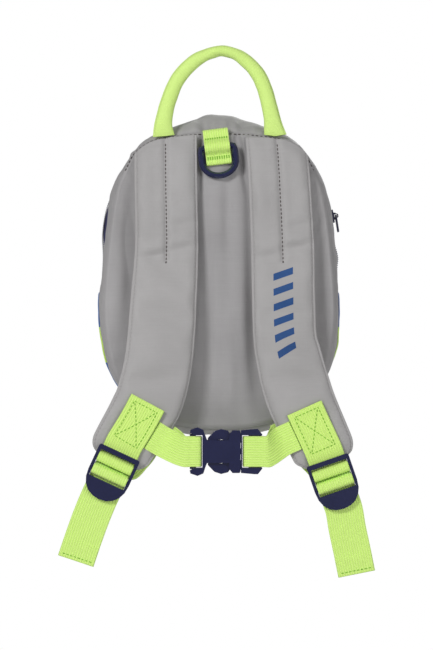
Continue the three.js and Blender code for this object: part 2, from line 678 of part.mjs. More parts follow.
// The back seam's height at a distance from the middle of the bag, on the bag's upper half
function seamHeight(x) {
  let height = SEAM_TOP;
  for (let column = 0; column < COLUMNS / 2 - 1; column += 1) {
    const [inner, outer] = [SEAM[column], SEAM[column + 1]];
    if (outer.z < PANEL_MIDDLE) break;
    if (Math.abs(x) >= inner.x && Math.abs(x) <= outer.x) {
      height = mix(inner.z, outer.z, (Math.abs(x) - inner.x) / (outer.x - inner.x));
    }
  }
  return height;
}

// Cross section of a padded strap: side is a share of the half width, rise of the half thickness
const STRAP_SECTION = [
  { side: -1, rise: 0.35 }, { side: -0.93, rise: 0.72 }, { side: -0.72, rise: 0.96 }, { side: -0.3, rise: 1 },
  { side: 0, rise: 1 }, { side: 0.3, rise: 1 }, { side: 0.72, rise: 0.96 }, { side: 0.93, rise: 0.72 },
  { side: 1, rise: 0.35 },
];
const STRAP_STEPS = 14; // rings along its straight sides
const END_STEPS = 4; // rings round its lower end
const RULER_STEPS = 80;

// Marks along the strap's middle, each with its share of the route and its distance from the lower end
function strapRuler(side) {
  const marks = [{ share: 1, above: 0 }];
  for (let step = RULER_STEPS - 1; step >= 0; step -= 1) {
    const at = (mark) => strapPoint(side, (mark / RULER_STEPS) * (STRAP_ROUTE[side].length - 1));
    const [here, below] = [at(step), at(step + 1)];
    marks.push({ share: step / RULER_STEPS, above: marks.at(-1).above + here.distanceTo(below) });
  }
  return marks;
}

const RULERS = { left: strapRuler('left'), right: strapRuler('right') };

// The frame of a strap at a distance above its lower end
function strapAbove(side, above) {
  const marks = RULERS[side];
  let mark = 1;
  while (mark < marks.length - 1 && marks[mark].above < above) mark += 1;
  const [low, high] = [marks[mark - 1], marks[mark]];
  const share = THREE.MathUtils.clamp((above - low.above) / (high.above - low.above), 0, 1);
  return strapFrame(side, mix(low.share, high.share, share));
}

function shoulderStrap(side) {
  const length = RULERS[side].at(-1).above;
  const straight = Array.from({ length: STRAP_STEPS + 1 }, (_, step) => (
    mix(length, STRAP_ROUND, step / STRAP_STEPS)));
  const rounded = Array.from({ length: END_STEPS }, (_, step) => (
    STRAP_ROUND * (1 - Math.sin(((step + 1) / END_STEPS) * (Math.PI / 2)))));
  return loft([...straight, ...rounded].map((above) => {
    const frame = strapAbove(side, above);
    const inward = THREE.MathUtils.clamp(1 - above / STRAP_ROUND, 0, 1);
    const corner = 1 - Math.sqrt(1 - inward ** 2);
    const half = frame.half - corner * STRAP_ROUND;
    const point = (row, face) => {
      const groove = row.side === 0 ? frame.groove : 0;
      const rise = (row.rise * frame.thick * (1 - 0.4 * corner) - groove) / 2;
      return place(frame, row.side * half, 0, face * rise);
    };
    const ring = [
      ...STRAP_SECTION.map((row) => point(row, 1)),
      ...STRAP_SECTION.slice().reverse().map((row) => point(row, -1)),
    ];
    followSeam(ring, (length - above) / SEAM_FOLLOW);
    return ring;
  }));
}

// The strap's top end follows the back seam, and the rings below it follow less and less.
function followSeam(ring, share) {
  if (share > 1) return;
  for (const point of ring) point.z += (seamHeight(point.x) - SEAM_TOP) * (1 - share) ** 1.5;
}

// A flat ribbon through stations { at, side, thick, skew }, each told its point, its width direction
// and, where they differ, its thickness and how far it is cut along that direction (1) and not
// square to its run (0)
function ribbon(stations, width, longest) {
  const points = stations.map((station) => station.at);
  const curve = new THREE.CatmullRomCurve3(points, false, 'centripetal');
  const last = stations.length - 1;
  const rings = [];
  const addRing = (at) => {
    const low = Math.min(Math.floor(at), last - 1);
    const share = at - low;
    const middle = curve.getPoint(at / last);
    const along = curve.getTangent(THREE.MathUtils.clamp(at / last, 1e-4, 1 - 1e-4));
    const told = stations[low].side.clone().lerp(stations[low + 1].side, share).normalize();
    const square = told.clone().addScaledVector(along, -told.dot(along)).normalize();
    const out = along.clone().cross(square).normalize();
    const skew = mix(stations[low].skew ?? 0, stations[low + 1].skew ?? 0, share);
    const side = square.clone().lerp(told.divideScalar(told.dot(square)), skew);
    const thick = mix(stations[low].thick ?? WEB_THICK, stations[low + 1].thick ?? WEB_THICK, share);
    rings.push([[-1, 1], [1, 1], [1, -1], [-1, -1]].map(([across, lift]) => (
      middle.clone().addScaledVector(side, (across * width) / 2).addScaledVector(out, (lift * thick) / 2))));
  };
  for (let low = 0; low < last; low += 1) {
    const steps = Math.max(1, Math.round(points[low].distanceTo(points[low + 1]) / longest));
    for (let step = 0; step < steps; step += 1) addRing(low + step / steps);
  }
  addRing(last);
  return loft(rings);
}

// Levels in front of the strap's face: two layers of webbing, and then the lock
const LOWER_LAYER = 2 * GAP + WEB_THICK / 2;
const UPPER_LAYER = LOWER_LAYER + WEB_THICK + GAP;
const LOCK_LEVEL = UPPER_LAYER + WEB_THICK / 2 + GAP + LOCK_THICK / 2;

// The lock hangs below the strap's end. Its frame starts in the middle of its top edge.
function lockFrame(side) {
  const end = strapAbove(side, 0);
  const at = place(end, 0, SIDES[side].lockDrop, end.thick / 2 + LOCK_LEVEL);
  const down = vec(end.down.x, 0, end.down.z).normalize();
  const across = vec(-down.z, 0, down.x);
  return { at, down, across, out: vec(0, -1, 0) };
}

// Where the lock's bars lie below its top edge
const BAR_ONE = LOCK_TOP_BAR + LOCK_SLOT;
const BAR_TWO = BAR_ONE + LOCK_BAR + LOCK_MIDDLE_SLOT;
const OPENING_END = BAR_TWO + LOCK_BAR + LOCK_SLOT;
const LOCK_LENGTH = OPENING_END + LOCK_TAB;

function ladderLock() {
  const half = LOCK_WIDTH / 2;
  const inside = half - LOCK_SIDE;
  const corner = LOCK_TOP_BAR / 2;
  const outline = new THREE.Shape();
  outline.moveTo(-half + corner, 0);
  outline.lineTo(half - corner, 0);
  outline.quadraticCurveTo(half, 0, half, -corner);
  const [shoulder, cheek] = [-OPENING_END + LOCK_SLOT, -OPENING_END - LOCK_TAB / 2];
  outline.lineTo(half, shoulder);
  outline.bezierCurveTo(half, cheek, half * 0.62, -LOCK_LENGTH, 0, -LOCK_LENGTH);
  outline.bezierCurveTo(-half * 0.62, -LOCK_LENGTH, -half, cheek, -half, shoulder);
  outline.lineTo(-half, -corner);
  outline.quadraticCurveTo(-half, 0, -half + corner, 0);
  const opening = rectangle(-inside, inside, -OPENING_END, -LOCK_TOP_BAR);
  outline.holes.push(new THREE.Path(opening.getPoints()));
  const reach = inside + LOCK_SIDE / 2;
  const bar = (top) => solid(plate(rectangle(-reach, reach, -top - LOCK_BAR, -top), LOCK_BAR_THICK));
  return surface(solid(plate(outline, LOCK_THICK)).add(bar(BAR_ONE)).add(bar(BAR_TWO)));
}

const CLEAR = GAP + WEB_THICK / 2; // from a bar's face to the middle of the webbing on it
const OVER_BAR = LOCK_BAR_THICK / 2 + CLEAR;
const BEHIND_LOCK = -LOCK_THICK / 2 - CLEAR;

const SLOT_LEAN = 0.4 * WEB_THICK; // how far webbing leans either way as it goes through a slot
const LIFT = GAP / 3; // how far webbing's middle rises over a bar between its edges

// Stations where webbing goes steeply through a slot, from one level to another
function crossing(onLock, down, from, to) {
  return [
    onLock(down - SLOT_LEAN, from * 0.55),
    onLock(down, (from + to) / 2),
    onLock(down + SLOT_LEAN, to * 0.55),
  ];
}

// Stations round the lower edge of a bar that ends at a place, from the front to the back
function aroundEdge(onLock, end) {
  const [near, far] = [end + WEB_THICK / 4, end + WEB_THICK];
  return [onLock(near, OVER_BAR - LIFT), onLock(far - LIFT, OVER_BAR / 2), onLock(far, 0),
    onLock(far - LIFT, -OVER_BAR / 2), onLock(near, -OVER_BAR + LIFT)];
}

// The strap's own webbing: folded at its top, sewn down, looped round the lock's first bar
function strapWebbing(side) {
  const lock = lockFrame(side);
  const middle = BAR_ONE + LOCK_BAR / 2;
  const back = BEHIND_LOCK - WEB_THICK - GAP;
  const onLock = (down, out) => ({ at: place(lock, 0, down, out), side: lock.across });
  const onStrap = (above, level) => {
    const frame = strapAbove(side, above - SIDES[side].lockDrop);
    return { at: place(frame, 0, 0, frame.thick / 2 + level), side: frame.across };
  };
  return ribbon([
    onStrap(SEWN_LENGTH, UPPER_LAYER),
    onStrap(SEWN_LENGTH * 0.7, UPPER_LAYER),
    onStrap(SEWN_LENGTH * 0.42, UPPER_LAYER),
    onLock(-SEWN_LENGTH * 0.16, BEHIND_LOCK),
    onLock(0, BEHIND_LOCK),
    onLock(LOCK_TOP_BAR + 2 * GAP, BEHIND_LOCK - LIFT),
    ...crossing(onLock, BAR_ONE - LOCK_SLOT / 2, BEHIND_LOCK, OVER_BAR),
    onLock(BAR_ONE - LOCK_BAR / 5, OVER_BAR - LIFT),
    onLock(middle, OVER_BAR + LIFT),
    ...aroundEdge(onLock, BAR_ONE + LOCK_BAR),
    onLock(middle, -OVER_BAR - 2 * LIFT),
    onLock(BAR_ONE - WEB_THICK / 4, -OVER_BAR - 7 * LIFT),
    onLock(LOCK_TOP_BAR + 0.3 * LOCK_SLOT, back + 5 * LIFT),
    onLock(0.75 * LOCK_TOP_BAR, back),
    onLock(-SEWN_LENGTH * 0.16, back),
    onStrap(SEWN_LENGTH * 0.42, LOWER_LAYER),
    onStrap(SEWN_LENGTH * 0.7, LOWER_LAYER),
    onStrap(SEWN_LENGTH * 0.98, LOWER_LAYER),
  ], WEB_WIDTH, 9);
}

// Where the lower webbing leaves the bag: a point of the back seam near the bag's bottom
function anchorFrame(side) {
  const sign = -SIDES[side].inner;
  const half = COLUMNS / 2;
  let step = half;
  while (SEAM[step].x < (ANCHOR_OUT * PANEL_WIDTH) / 2) step -= 1;
  const [outer, inner] = [SEAM[step], SEAM[step + 1]];
  const share = ((ANCHOR_OUT * PANEL_WIDTH) / 2 - outer.x) / (inner.x - outer.x);
  const at = outer.clone().lerp(inner, share);
  const along = inner.clone().sub(outer).normalize();
  const down = vec(-along.z, 0, along.x);
  if (down.z > 0) down.negate();
  return {
    at: vec(sign * at.x, -PANEL_WALL / 2, at.z),
    down: vec(sign * down.x, 0, down.z),
    across: vec(-down.z, 0, sign * down.x),
    out: vec(0, -1, 0),
  };
}

// The lower webbing: sewn into the bag's bottom, up behind the lock, over its second bar and down
// behind its tab, with the hemmed tail hanging free
function adjusterWebbing(side) {
  const lock = lockFrame(side);
  const anchor = anchorFrame(side);
  const throughFrom = BAR_TWO - LOCK_MIDDLE_SLOT * 0.33;
  const throughTo = OPENING_END - 0.54 * LOCK_SLOT;
  const behind = lock.at.y - anchor.at.y;
  const onLock = (across, down, out, thick) => ({
    at: place(lock, across, down, out), side: lock.across, thick,
  });
  const { inner, slant } = SIDES[side];
  const tail = SIDES[side].tail.map((row, index) => onLock(
    row.across * TAIL_LENGTH,
    row.down * TAIL_LENGTH,
    BEHIND_LOCK + index * GAP,
  ));
  const [above, end] = SIDES[side].tail.slice(-2);
  const hemTop = 1 - HEM_LENGTH / TAIL_LENGTH;
  const hem = (down, thick) => {
    const across = mix(above.across, end.across, (down - above.down) / (end.down - above.down));
    return onLock(across * TAIL_LENGTH, down * TAIL_LENGTH, BEHIND_LOCK + 2 * GAP, thick);
  };
  return ribbon([
    { at: place(anchor, 0, GAP + WEB_THICK / 4, 0), side: anchor.across },
    { at: place(anchor, 0, 0.3 * WEB_WIDTH, 2.5 * WEB_THICK), side: anchor.across },
    onLock(inner * slant[0] * WEB_WIDTH, -0.3 * WEB_WIDTH, behind * 0.7),
    onLock(inner * slant[1] * WEB_WIDTH, 0.25 * LOCK_TOP_BAR, behind * 0.56),
    onLock(inner * slant[2] * WEB_WIDTH, Math.max(BAR_ONE + WEB_THICK, WEB_THICK - SIDES[side].lockDrop),
      behind * 0.36),
    onLock(0, BAR_TWO - 0.65 * LOCK_MIDDLE_SLOT, -LOCK_THICK - WEB_THICK),
    onLock(0, throughFrom - WEB_THICK * 0.6, -LOCK_BAR_THICK - 2 * GAP),
    ...crossing((down, out) => onLock(0, down, out), throughFrom, BEHIND_LOCK, OVER_BAR),
    onLock(0, BAR_TWO - WEB_THICK / 2, OVER_BAR),
    onLock(0, BAR_TWO + LOCK_BAR / 2, OVER_BAR + LIFT),
    onLock(0, BAR_TWO + LOCK_BAR + 2 * LIFT, OVER_BAR),
    ...crossing((down, out) => onLock(0, down, out), throughTo, OVER_BAR, BEHIND_LOCK),
    onLock(0, OPENING_END - WEB_THICK / 4, BEHIND_LOCK - LIFT),
    onLock(0, OPENING_END + 0.27 * LOCK_TAB, BEHIND_LOCK - 2 * LIFT),
    onLock(0, LOCK_LENGTH + WEB_THICK / 2, BEHIND_LOCK - LIFT),
    ...tail.slice(0, -1),
    hem(hemTop - 0.005, WEB_THICK),
    hem(hemTop + 0.005, WEB_THICK * 2),
    hem(1, WEB_THICK * 2),
  ], WEB_WIDTH, 10);
}

function buckleFrame() {
  const [left, right] = [lockFrame('left'), lockFrame('right')];
  const at = left.at.clone().lerp(right.at, 0.5).add(vec(BUCKLE_ASIDE, 0, BUCKLE_RISE));
  return { at, across: vec(1, 0, 0), down: vec(0, 0, -1), out: vec(0, -1, 0) };
}

// Places along the buckle, from its middle: shares of its length
const HALF_LENGTH = BUCKLE_LENGTH / 2;
const HALF_WIDTH = BUCKLE_WIDTH / 2;
const FEMALE_SLOT = -0.8 * HALF_LENGTH; // the slot's outer edge
const WINDOW_FROM = -0.5 * HALF_LENGTH;
const WINDOW_TO = 0.09 * HALF_LENGTH;
const MOUTH = 0.41 * HALF_LENGTH;
const MALE_SLOT = MOUTH + GAP + 1;
const WAIST = 0.47 * HALF_WIDTH;
const MOUTH_HALF = 0.88 * HALF_WIDTH;
const CHEEK = CHEST_WIDTH / 2 + 0.8;

function mirrored(points) {
  return polygon([...points, ...points.slice().reverse().map(([x, z]) => [x, -z])]);
}

function buckleFemale() {
  const body = solid(plate(mirrored([
    [-0.8 * HALF_LENGTH, 0.95 * CHEEK], [-0.97 * HALF_LENGTH, 0.79 * HALF_WIDTH],
    [-0.95 * HALF_LENGTH, 0.9 * HALF_WIDTH], [-0.76 * HALF_LENGTH, HALF_WIDTH],
    [-0.6 * HALF_LENGTH, 0.9 * HALF_WIDTH], [-0.54 * HALF_LENGTH, 0.62 * HALF_WIDTH],
    [WINDOW_FROM, WAIST], [WINDOW_TO, WAIST], [0.12 * HALF_LENGTH, 0.75 * HALF_WIDTH],
    [0.19 * HALF_LENGTH, MOUTH_HALF], [MOUTH - 0.8, MOUTH_HALF], [MOUTH, 0.8 * HALF_WIDTH],
  ]), BUCKLE_THICK));
  const slotEnd = FEMALE_SLOT + BUCKLE_SLOT;
  const slot = solid(plate(rectangle(FEMALE_SLOT, slotEnd, -CHEEK, CHEEK), 2 * BUCKLE_THICK));
  const cavity = solid(plate(mirrored([[WINDOW_FROM, BUCKLE_WIDTH], [WINDOW_TO, BUCKLE_WIDTH],
    [0.14 * HALF_LENGTH, MOUTH_HALF - 2], [2 * MOUTH, MOUTH_HALF - 2]]), BUCKLE_CAVITY));
  const barFrom = -0.97 * HALF_LENGTH;
  const bar = solid(plate(rectangle(barFrom, FEMALE_SLOT, -CHEEK - 1, CHEEK + 1), BUCKLE_BAR_THICK));
  return surface(body.subtract(slot).subtract(cavity).add(bar));
}

function buckleMale() {
  const start = MOUTH + GAP;
  const base = plate(mirrored([
    [start, MOUTH_HALF], [0.78 * HALF_LENGTH, 0.93 * HALF_WIDTH], [0.88 * HALF_LENGTH, 0.93 * HALF_WIDTH],
    [HALF_LENGTH, 0.7 * HALF_WIDTH], [HALF_LENGTH, CHEEK],
  ]), BUCKLE_THICK - 1);
  const cut = plate(rectangle(MALE_SLOT, 2 * HALF_LENGTH, -CHEEK, CHEEK), 2 * BUCKLE_THICK);
  const barFrom = MALE_SLOT + BUCKLE_SLOT;
  const bar = plate(rectangle(barFrom, HALF_LENGTH - 0.5, -CHEEK - 1, CHEEK + 1), BUCKLE_BAR_THICK);
  const prongThick = BUCKLE_CAVITY - 2 * GAP;
  const prong = (sign) => plate(polygon([
    [start + 0.6, sign * 0.36 * HALF_WIDTH], [start + 0.6, sign * (MOUTH_HALF - 2 - GAP * 2)],
    [0.12 * HALF_LENGTH, sign * (MOUTH_HALF - 2 - GAP * 2)], [WINDOW_TO - 0.6, sign * 0.86 * HALF_WIDTH],
    [-0.12 * HALF_LENGTH, sign * 0.93 * HALF_WIDTH], [-0.3 * HALF_LENGTH, sign * 0.84 * HALF_WIDTH],
    [WINDOW_FROM + 0.6, sign * 0.56 * HALF_WIDTH], [WINDOW_FROM + 0.6, sign * 0.42 * HALF_WIDTH],
    [-0.1 * HALF_LENGTH, sign * 0.5 * HALF_WIDTH], [0.2 * HALF_LENGTH, sign * 0.36 * HALF_WIDTH],
  ]), prongThick);
  const guideHalf = 0.12 * HALF_WIDTH;
  const guide = plate(rectangle(-0.2 * HALF_LENGTH, start + 0.6, -guideHalf, guideHalf), prongThick);
  return surface([bar, prong(1), prong(-1), guide]
    .reduce((joined, piece) => joined.add(solid(piece)), solid(base).subtract(solid(cut))));
}

// The chest webbing: sewn to the strap beside its webbing, round the buckle's bar and back
function chestWebbing(side, barFar, slotMiddle) {
  const { inner, chestAbove } = SIDES[side];
  const strap = strapAbove(side, chestAbove);
  const above = strapAbove(side, chestAbove + CHEST_SLACK);
  const buckle = buckleFrame();
  const over = BUCKLE_BAR_THICK / 2 + CLEAR;
  const toSlot = Math.sign(slotMiddle - barFar);
  const [edge, turn] = [toSlot * 0.45 * BUCKLE_SLOT, toSlot * 0.3 * WEB_THICK]; // before the slot's middle
  const [inside, before] = [toSlot * 0.6 * WEB_THICK, toSlot * 2.5 * WEB_THICK]; // about the bar's far edge
  const onStrap = (frame, across, lift, skew) => ({
    at: place(frame, inner * across, 0, lift), side: frame.down.clone().negate(), skew,
  });
  const up = vec(0, 0, 1);
  const onBar = (along, out) => ({ at: place(buckle, along, 0, out), side: up, skew: 1 });
  const face = strap.thick / 2 + CLEAR;
  return ribbon([
    onStrap(strap, WEB_WIDTH / 2 + 2 * GAP, face + WEB_THICK / 2, 1),
    onStrap(strap, strap.half + WEB_THICK * 0.6, face + WEB_THICK * 0.6, 0.6),
    onBar(barFar - before, over + GAP),
    onBar(barFar + inside, over),
    onBar(slotMiddle - edge, over),
    onBar(slotMiddle - turn, over * 0.75),
    onBar(slotMiddle, 0),
    onBar(slotMiddle - turn, -over * 0.75),
    onBar(slotMiddle - edge, -over),
    onBar(barFar + inside, -over),
    onBar(barFar - before, -over - GAP * 1.6),
    onStrap(above, strap.half + WEB_THICK, face - WEB_THICK * 3.2, 1),
  ], CHEST_WIDTH, 8);
}

// The grab handle: webbing folded and sewn to a tube, flat where its ends go into the seam
function handle() {
  const stepsPerRow = 2;
  const sides = 10;
  const last = HANDLE_ROUTE.length - 1;
  const half = HANDLE_SPAN / 2;
  const foot = seamHeight(half) + GAP;
  const pointAt = (at) => vec(
    between(HANDLE_ROUTE, 'across', at) * half,
    -between(HANDLE_ROUTE, 'fore', at) * HANDLE_DEPTH,
    mix(foot, SEAM_TOP + HANDLE_RISE, between(HANDLE_ROUTE, 'up', at)),
  );
  const rings = [];
  for (let step = 0; step <= last * stepsPerRow; step += 1) {
    const at = step / stepsPerRow;
    const middle = pointAt(at);
    const along = pointAt(Math.min(at + 0.25, last)).sub(pointAt(Math.max(at - 0.25, 0))).normalize();
    const across = along.clone().cross(vec(0, -1, 0)).normalize();
    const fore = across.clone().cross(along).normalize();
    const wide = (between(HANDLE_ROUTE, 'wide', at) * HANDLE_WIDTH) / 2;
    const thick = (between(HANDLE_ROUTE, 'thick', at) * HANDLE_DEPTH) / 2;
    rings.push(Array.from({ length: sides }, (_, side) => {
      const angle = ((side + 0.5) / sides) * 2 * Math.PI;
      const point = middle.clone().addScaledVector(across, Math.cos(angle) * wide)
        .addScaledVector(fore, Math.sin(angle) * thick);
      point.z = Math.max(point.z, seamHeight(point.x) + GAP);
      return point;
    }));
  }
  return loft(rings);
}

// The ring's bar: its middle, and how far it stands off the back panel
const BAR_HEIGHT = SEAM_TOP - TAB_DROP;
const BAR_OUT = Math.min(
  panelFace(0, BAR_HEIGHT) - 2 * GAP - WEB_THICK,
  panelFace(0, BAR_HEIGHT - RING_DROP) - 2 * GAP,
) - RING_WIRE / 2;

function ringFrame() {
  const roll = radians(TAB_ROLL);
  return {
    at: vec(TAB_ASIDE, BAR_OUT, BAR_HEIGHT),
    across: vec(Math.cos(roll), 0, Math.sin(roll)),
    down: vec(Math.sin(roll), 0, -Math.cos(roll)),
    out: vec(0, -1, 0),
  };
}

// The short webbing that holds the ring: from the top seam over the ring's bar, folded below it and
// back up behind it, sewn through both layers above and below the bar
function ringTab() {
  const frame = ringFrame();
  const turn = RING_WIRE / 2 + 2 * GAP + WEB_THICK / 2;
  const seat = (down) => panelFace(0, BAR_HEIGHT - down);
  const at = (down, y) => {
    const point = place(frame, 0, down, 0);
    point.y = y;
    return { at: point, side: frame.across };
  };
  const round = (degrees) => at(
    turn * Math.sin(radians(degrees)),
    frame.at.y - turn * Math.cos(radians(degrees)),
  );
  const backLayer = (down) => seat(down) - GAP - WEB_THICK / 2;
  const frontLayer = (down) => backLayer(down) - GAP - WEB_THICK;
  const top = -TAB_DROP / Math.cos(radians(TAB_ROLL));
  const fold = TAB_LENGTH - TAB_DROP;
  const [beside, bend] = [turn + 1.6 * WEB_THICK, (GAP + WEB_THICK) / 2];
  return ribbon([
    at(top - WEB_THICK - 4 * GAP, -WEB_THICK / 3),
    at(top - WEB_THICK / 2 - 2 * GAP, frontLayer(top) + WEB_THICK / 2),
    at(top + 2 * WEB_THICK, frontLayer(top + 2 * WEB_THICK)),
    at(-beside, frontLayer(-beside) - GAP),
    round(-44), round(-15), round(15), round(44),
    at(beside, frontLayer(beside) - GAP),
    at(fold - 2 * bend, frontLayer(fold)),
    at(fold - bend * 0.3, backLayer(fold) - 1.7 * bend),
    at(fold, backLayer(fold) - bend),
    at(fold - bend * 0.3, backLayer(fold) - 0.3 * bend),
    at(fold - 2 * bend, backLayer(fold)),
    at(beside, backLayer(beside)),
    at(0, backLayer(0)),
    at(top + 2 * WEB_THICK, backLayer(top + 2 * WEB_THICK)),
  ], TAB_WIDTH, 7);
}

function ringPath() {
  const half = RING_WIDTH / 2 - RING_WIRE / 2;
  const drop = RING_DROP - RING_WIRE / 2 - RING_LEG;
  const path = new THREE.Path();
  path.moveTo(0, 0);
  path.lineTo(half - RING_CORNER, 0);
  path.quadraticCurveTo(half, 0, half, -RING_CORNER);
  path.lineTo(half, -RING_LEG);
  path.absellipse(0, -RING_LEG, half, drop, 0, -Math.PI, true);
  path.lineTo(-half, -RING_CORNER);
  path.quadraticCurveTo(-half, 0, -half + RING_CORNER, 0);
  path.lineTo(0, 0);
  return path;
}

const RING_STEPS = 27; // odd, so that a flat facet lies in the middle of the ring's foot
const WIRE_SIDES = 8;

function dRing() {
  const points = ringPath().getSpacedPoints(RING_STEPS).slice(0, RING_STEPS);
  const wire = RING_WIRE / 2 / Math.cos(Math.PI / WIRE_SIDES);
  const rings = points.map((point, index) => {
    const before = points[(index + RING_STEPS - 1) % RING_STEPS];
    const after = points[(index + 1) % RING_STEPS];
    const along = new THREE.Vector2().subVectors(after, before).normalize();
    return Array.from({ length: WIRE_SIDES }, (_, side) => {
      const angle = ((side + 0.5) / WIRE_SIDES) * 2 * Math.PI;
      const inward = Math.cos(angle) * wire;
      return vec(point.x + along.y * inward, Math.sin(angle) * wire, point.y - along.x * inward);
    });
  });
  return loft(rings, true);
}

const bag = new THREE.Group();

bag.add(named('back_panel', backPanel(), fabric(COLOURS.grey)));
bag.add(named('rear_gusset', rearGusset(), fabric(COLOURS.grey)));
bag.add(named('front_gusset', frontGusset(), fabric(COLOURS.grey)));
bag.add(named('front_panel', frontPanel(), fabric(COLOURS.grey)));
bag.add(named('check_band', checkBand(), fabric(COLOURS.blue)));
bag.add(named('zip_chain', zipChain(), fabric(COLOURS.navy)));

const slide = sliderFrame();
const zipPull = new THREE.Group();
zipPull.position.copy(slide.at);
zipPull.quaternion.setFromRotationMatrix(slide.matrix);
zipPull.add(named('zip_slider', zipSlider(), plastic(COLOURS.navy)));
const puller = named('zip_puller', zipPuller(), plastic(COLOURS.navy));
puller.position.set(EYE_OUT, 0, 0);
zipPull.add(puller);
bag.add(zipPull);

for (const side of Object.keys(SIDES)) {
  bag.add(named(`shoulder_strap_${side}`, shoulderStrap(side), fabric(COLOURS.strapGrey)));
  bag.add(named(`strap_webbing_${side}`, strapWebbing(side), fabric(COLOURS.lime)));
  bag.add(named(`adjuster_webbing_${side}`, adjusterWebbing(side), fabric(COLOURS.lime)));
  const frame = lockFrame(side);
  const lock = named(`ladder_lock_${side}`, ladderLock(), plastic(COLOURS.navy));
  lock.position.copy(frame.at);
  lock.rotation.y = -Math.atan2(frame.across.z, frame.across.x);
  bag.add(lock);
}

const buckle = new THREE.Group();
buckle.position.copy(buckleFrame().at);
buckle.add(named('buckle_female', buckleFemale(), plastic(COLOURS.navy)));
buckle.add(named('buckle_male', buckleMale(), plastic(COLOURS.navy)));
bag.add(buckle);
bag.add(named('chest_webbing_left',
  chestWebbing('left', -0.97 * HALF_LENGTH, FEMALE_SLOT + BUCKLE_SLOT / 2), fabric(COLOURS.lime)));
bag.add(named('chest_webbing_right',
  chestWebbing('right', HALF_LENGTH, MALE_SLOT + BUCKLE_SLOT / 2), fabric(COLOURS.lime)));

bag.add(named('handle', handle(), fabric(COLOURS.lime)));
bag.add(named('ring_tab', ringTab(), fabric(COLOURS.lime)));
const ring = named('d_ring', dRing(), plastic(COLOURS.navy));
ring.position.copy(ringFrame().at);
ring.rotation.y = -radians(TAB_ROLL);
bag.add(ring);

export default bag;
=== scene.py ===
# %% [markdown]
# # Dressing a toddler's backpack
# The CAD frame gives every piece its size and place. This lesson gives each piece its cloth, webbing,
# stitching or moulded plastic. Soft pieces are rebuilt as fine meshes from the same named sizes as the
# frame, and the hard fittings keep their CAD shape and get softened edges and a plastic finish.

# %% Load the frame
import math
import bpy
import numpy as np
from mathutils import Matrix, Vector, noise
from mathutils.bvhtree import BVHTree


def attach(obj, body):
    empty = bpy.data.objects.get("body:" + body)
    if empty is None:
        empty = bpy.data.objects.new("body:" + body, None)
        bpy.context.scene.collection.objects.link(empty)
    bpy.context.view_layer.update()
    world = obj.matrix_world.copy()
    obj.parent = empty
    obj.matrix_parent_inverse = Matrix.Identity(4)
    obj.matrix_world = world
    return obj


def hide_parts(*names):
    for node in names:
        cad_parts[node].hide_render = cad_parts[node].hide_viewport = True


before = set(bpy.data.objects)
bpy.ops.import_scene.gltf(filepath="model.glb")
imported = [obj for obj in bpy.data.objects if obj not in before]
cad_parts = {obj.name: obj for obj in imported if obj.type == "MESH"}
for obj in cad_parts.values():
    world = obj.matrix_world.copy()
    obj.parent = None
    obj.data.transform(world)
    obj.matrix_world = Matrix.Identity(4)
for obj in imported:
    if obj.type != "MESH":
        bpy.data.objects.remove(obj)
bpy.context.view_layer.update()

# %% [markdown]
# The photograph was taken square on to the worn side from about two metres away. A long lens at that
# distance keeps the strap ends, which stand nearer, from growing too large against the back panel.

# %% Camera
CAMERA_AT = (-0.0025, -2.025, -0.2228)
LENS = 135.1
camera = bpy.data.objects.new("camera", bpy.data.cameras.new("camera"))
camera.data.lens = LENS
camera.location = CAMERA_AT
camera.rotation_euler = (math.radians(90), 0, 0)
camera.data.clip_end = 50
bpy.context.scene.collection.objects.link(camera)
bpy.context.scene.camera = camera
print("camera", CAMERA_AT, "lens", LENS)

# %% [markdown]
# A studio for cloth is one broad soft light close to the camera on the upper left, a weaker one on the right
# to open the shadows, and a pale room. Lit from the front, a bag is bright where it faces the viewer and
# darkens where it turns away at the sides and the top. The floor lies well below.

# %% Studio
scene = bpy.context.scene
scene.view_settings.view_transform = "Standard"
world = bpy.data.worlds.new("studio")
world.use_nodes = True
ROOM_LIGHT = 0.25
backdrop = world.node_tree.nodes["Background"]
backdrop.inputs["Color"].default_value = (1, 1, 1, 1)
seen = world.node_tree.nodes.new("ShaderNodeLightPath").outputs["Is Camera Ray"]
glow = world.node_tree.nodes.new("ShaderNodeMapRange")
glow.inputs["To Min"].default_value = ROOM_LIGHT
glow.inputs["To Max"].default_value = 1.0
world.node_tree.links.new(seen, glow.inputs["Value"])
world.node_tree.links.new(glow.outputs["Result"], backdrop.inputs["Strength"])
scene.world = world


def soft_light(name, at, aim, size, watts):
    lamp = bpy.data.lights.new(name, "AREA")
    lamp.size = size
    lamp.energy = watts
    light = bpy.data.objects.new(name, lamp)
    light.location = at
    light.rotation_mode = "QUATERNION"
    light.rotation_quaternion = (Vector(aim) - Vector(at)).to_track_quat("-Z", "Y")
    scene.collection.objects.link(light)


BAG_CENTRE = (0, 0, -0.2)
soft_light("key", (-1.15, -1.6, 0.75), BAG_CENTRE, 0.6, 24)
soft_light("fill", (1.1, -1.75, 0.0), BAG_CENTRE, 0.9, 10)
soft_light("back_wash", (0.5, 2.0, 0.9), BAG_CENTRE, 1.2, 14)
FLOOR_LEVEL, FLOOR_HALF = -0.9, 2
FLOOR_GREY = 0.85
floor_corners = [(x * FLOOR_HALF, y * FLOOR_HALF, FLOOR_LEVEL)
                 for x, y in ((-1, -1), (1, -1), (1, 1), (-1, 1))]
floor_mesh = bpy.data.meshes.new("floor")
floor_mesh.from_pydata(floor_corners, [], [(0, 1, 2, 3)])
floor = bpy.data.objects.new("floor", floor_mesh)
floor_finish = bpy.data.materials.new("pale_floor")
floor_finish.use_nodes = True
floor_shader = floor_finish.node_tree.nodes["Principled BSDF"]
floor_shader.inputs["Base Color"].default_value = (FLOOR_GREY, FLOOR_GREY, FLOOR_GREY, 1)
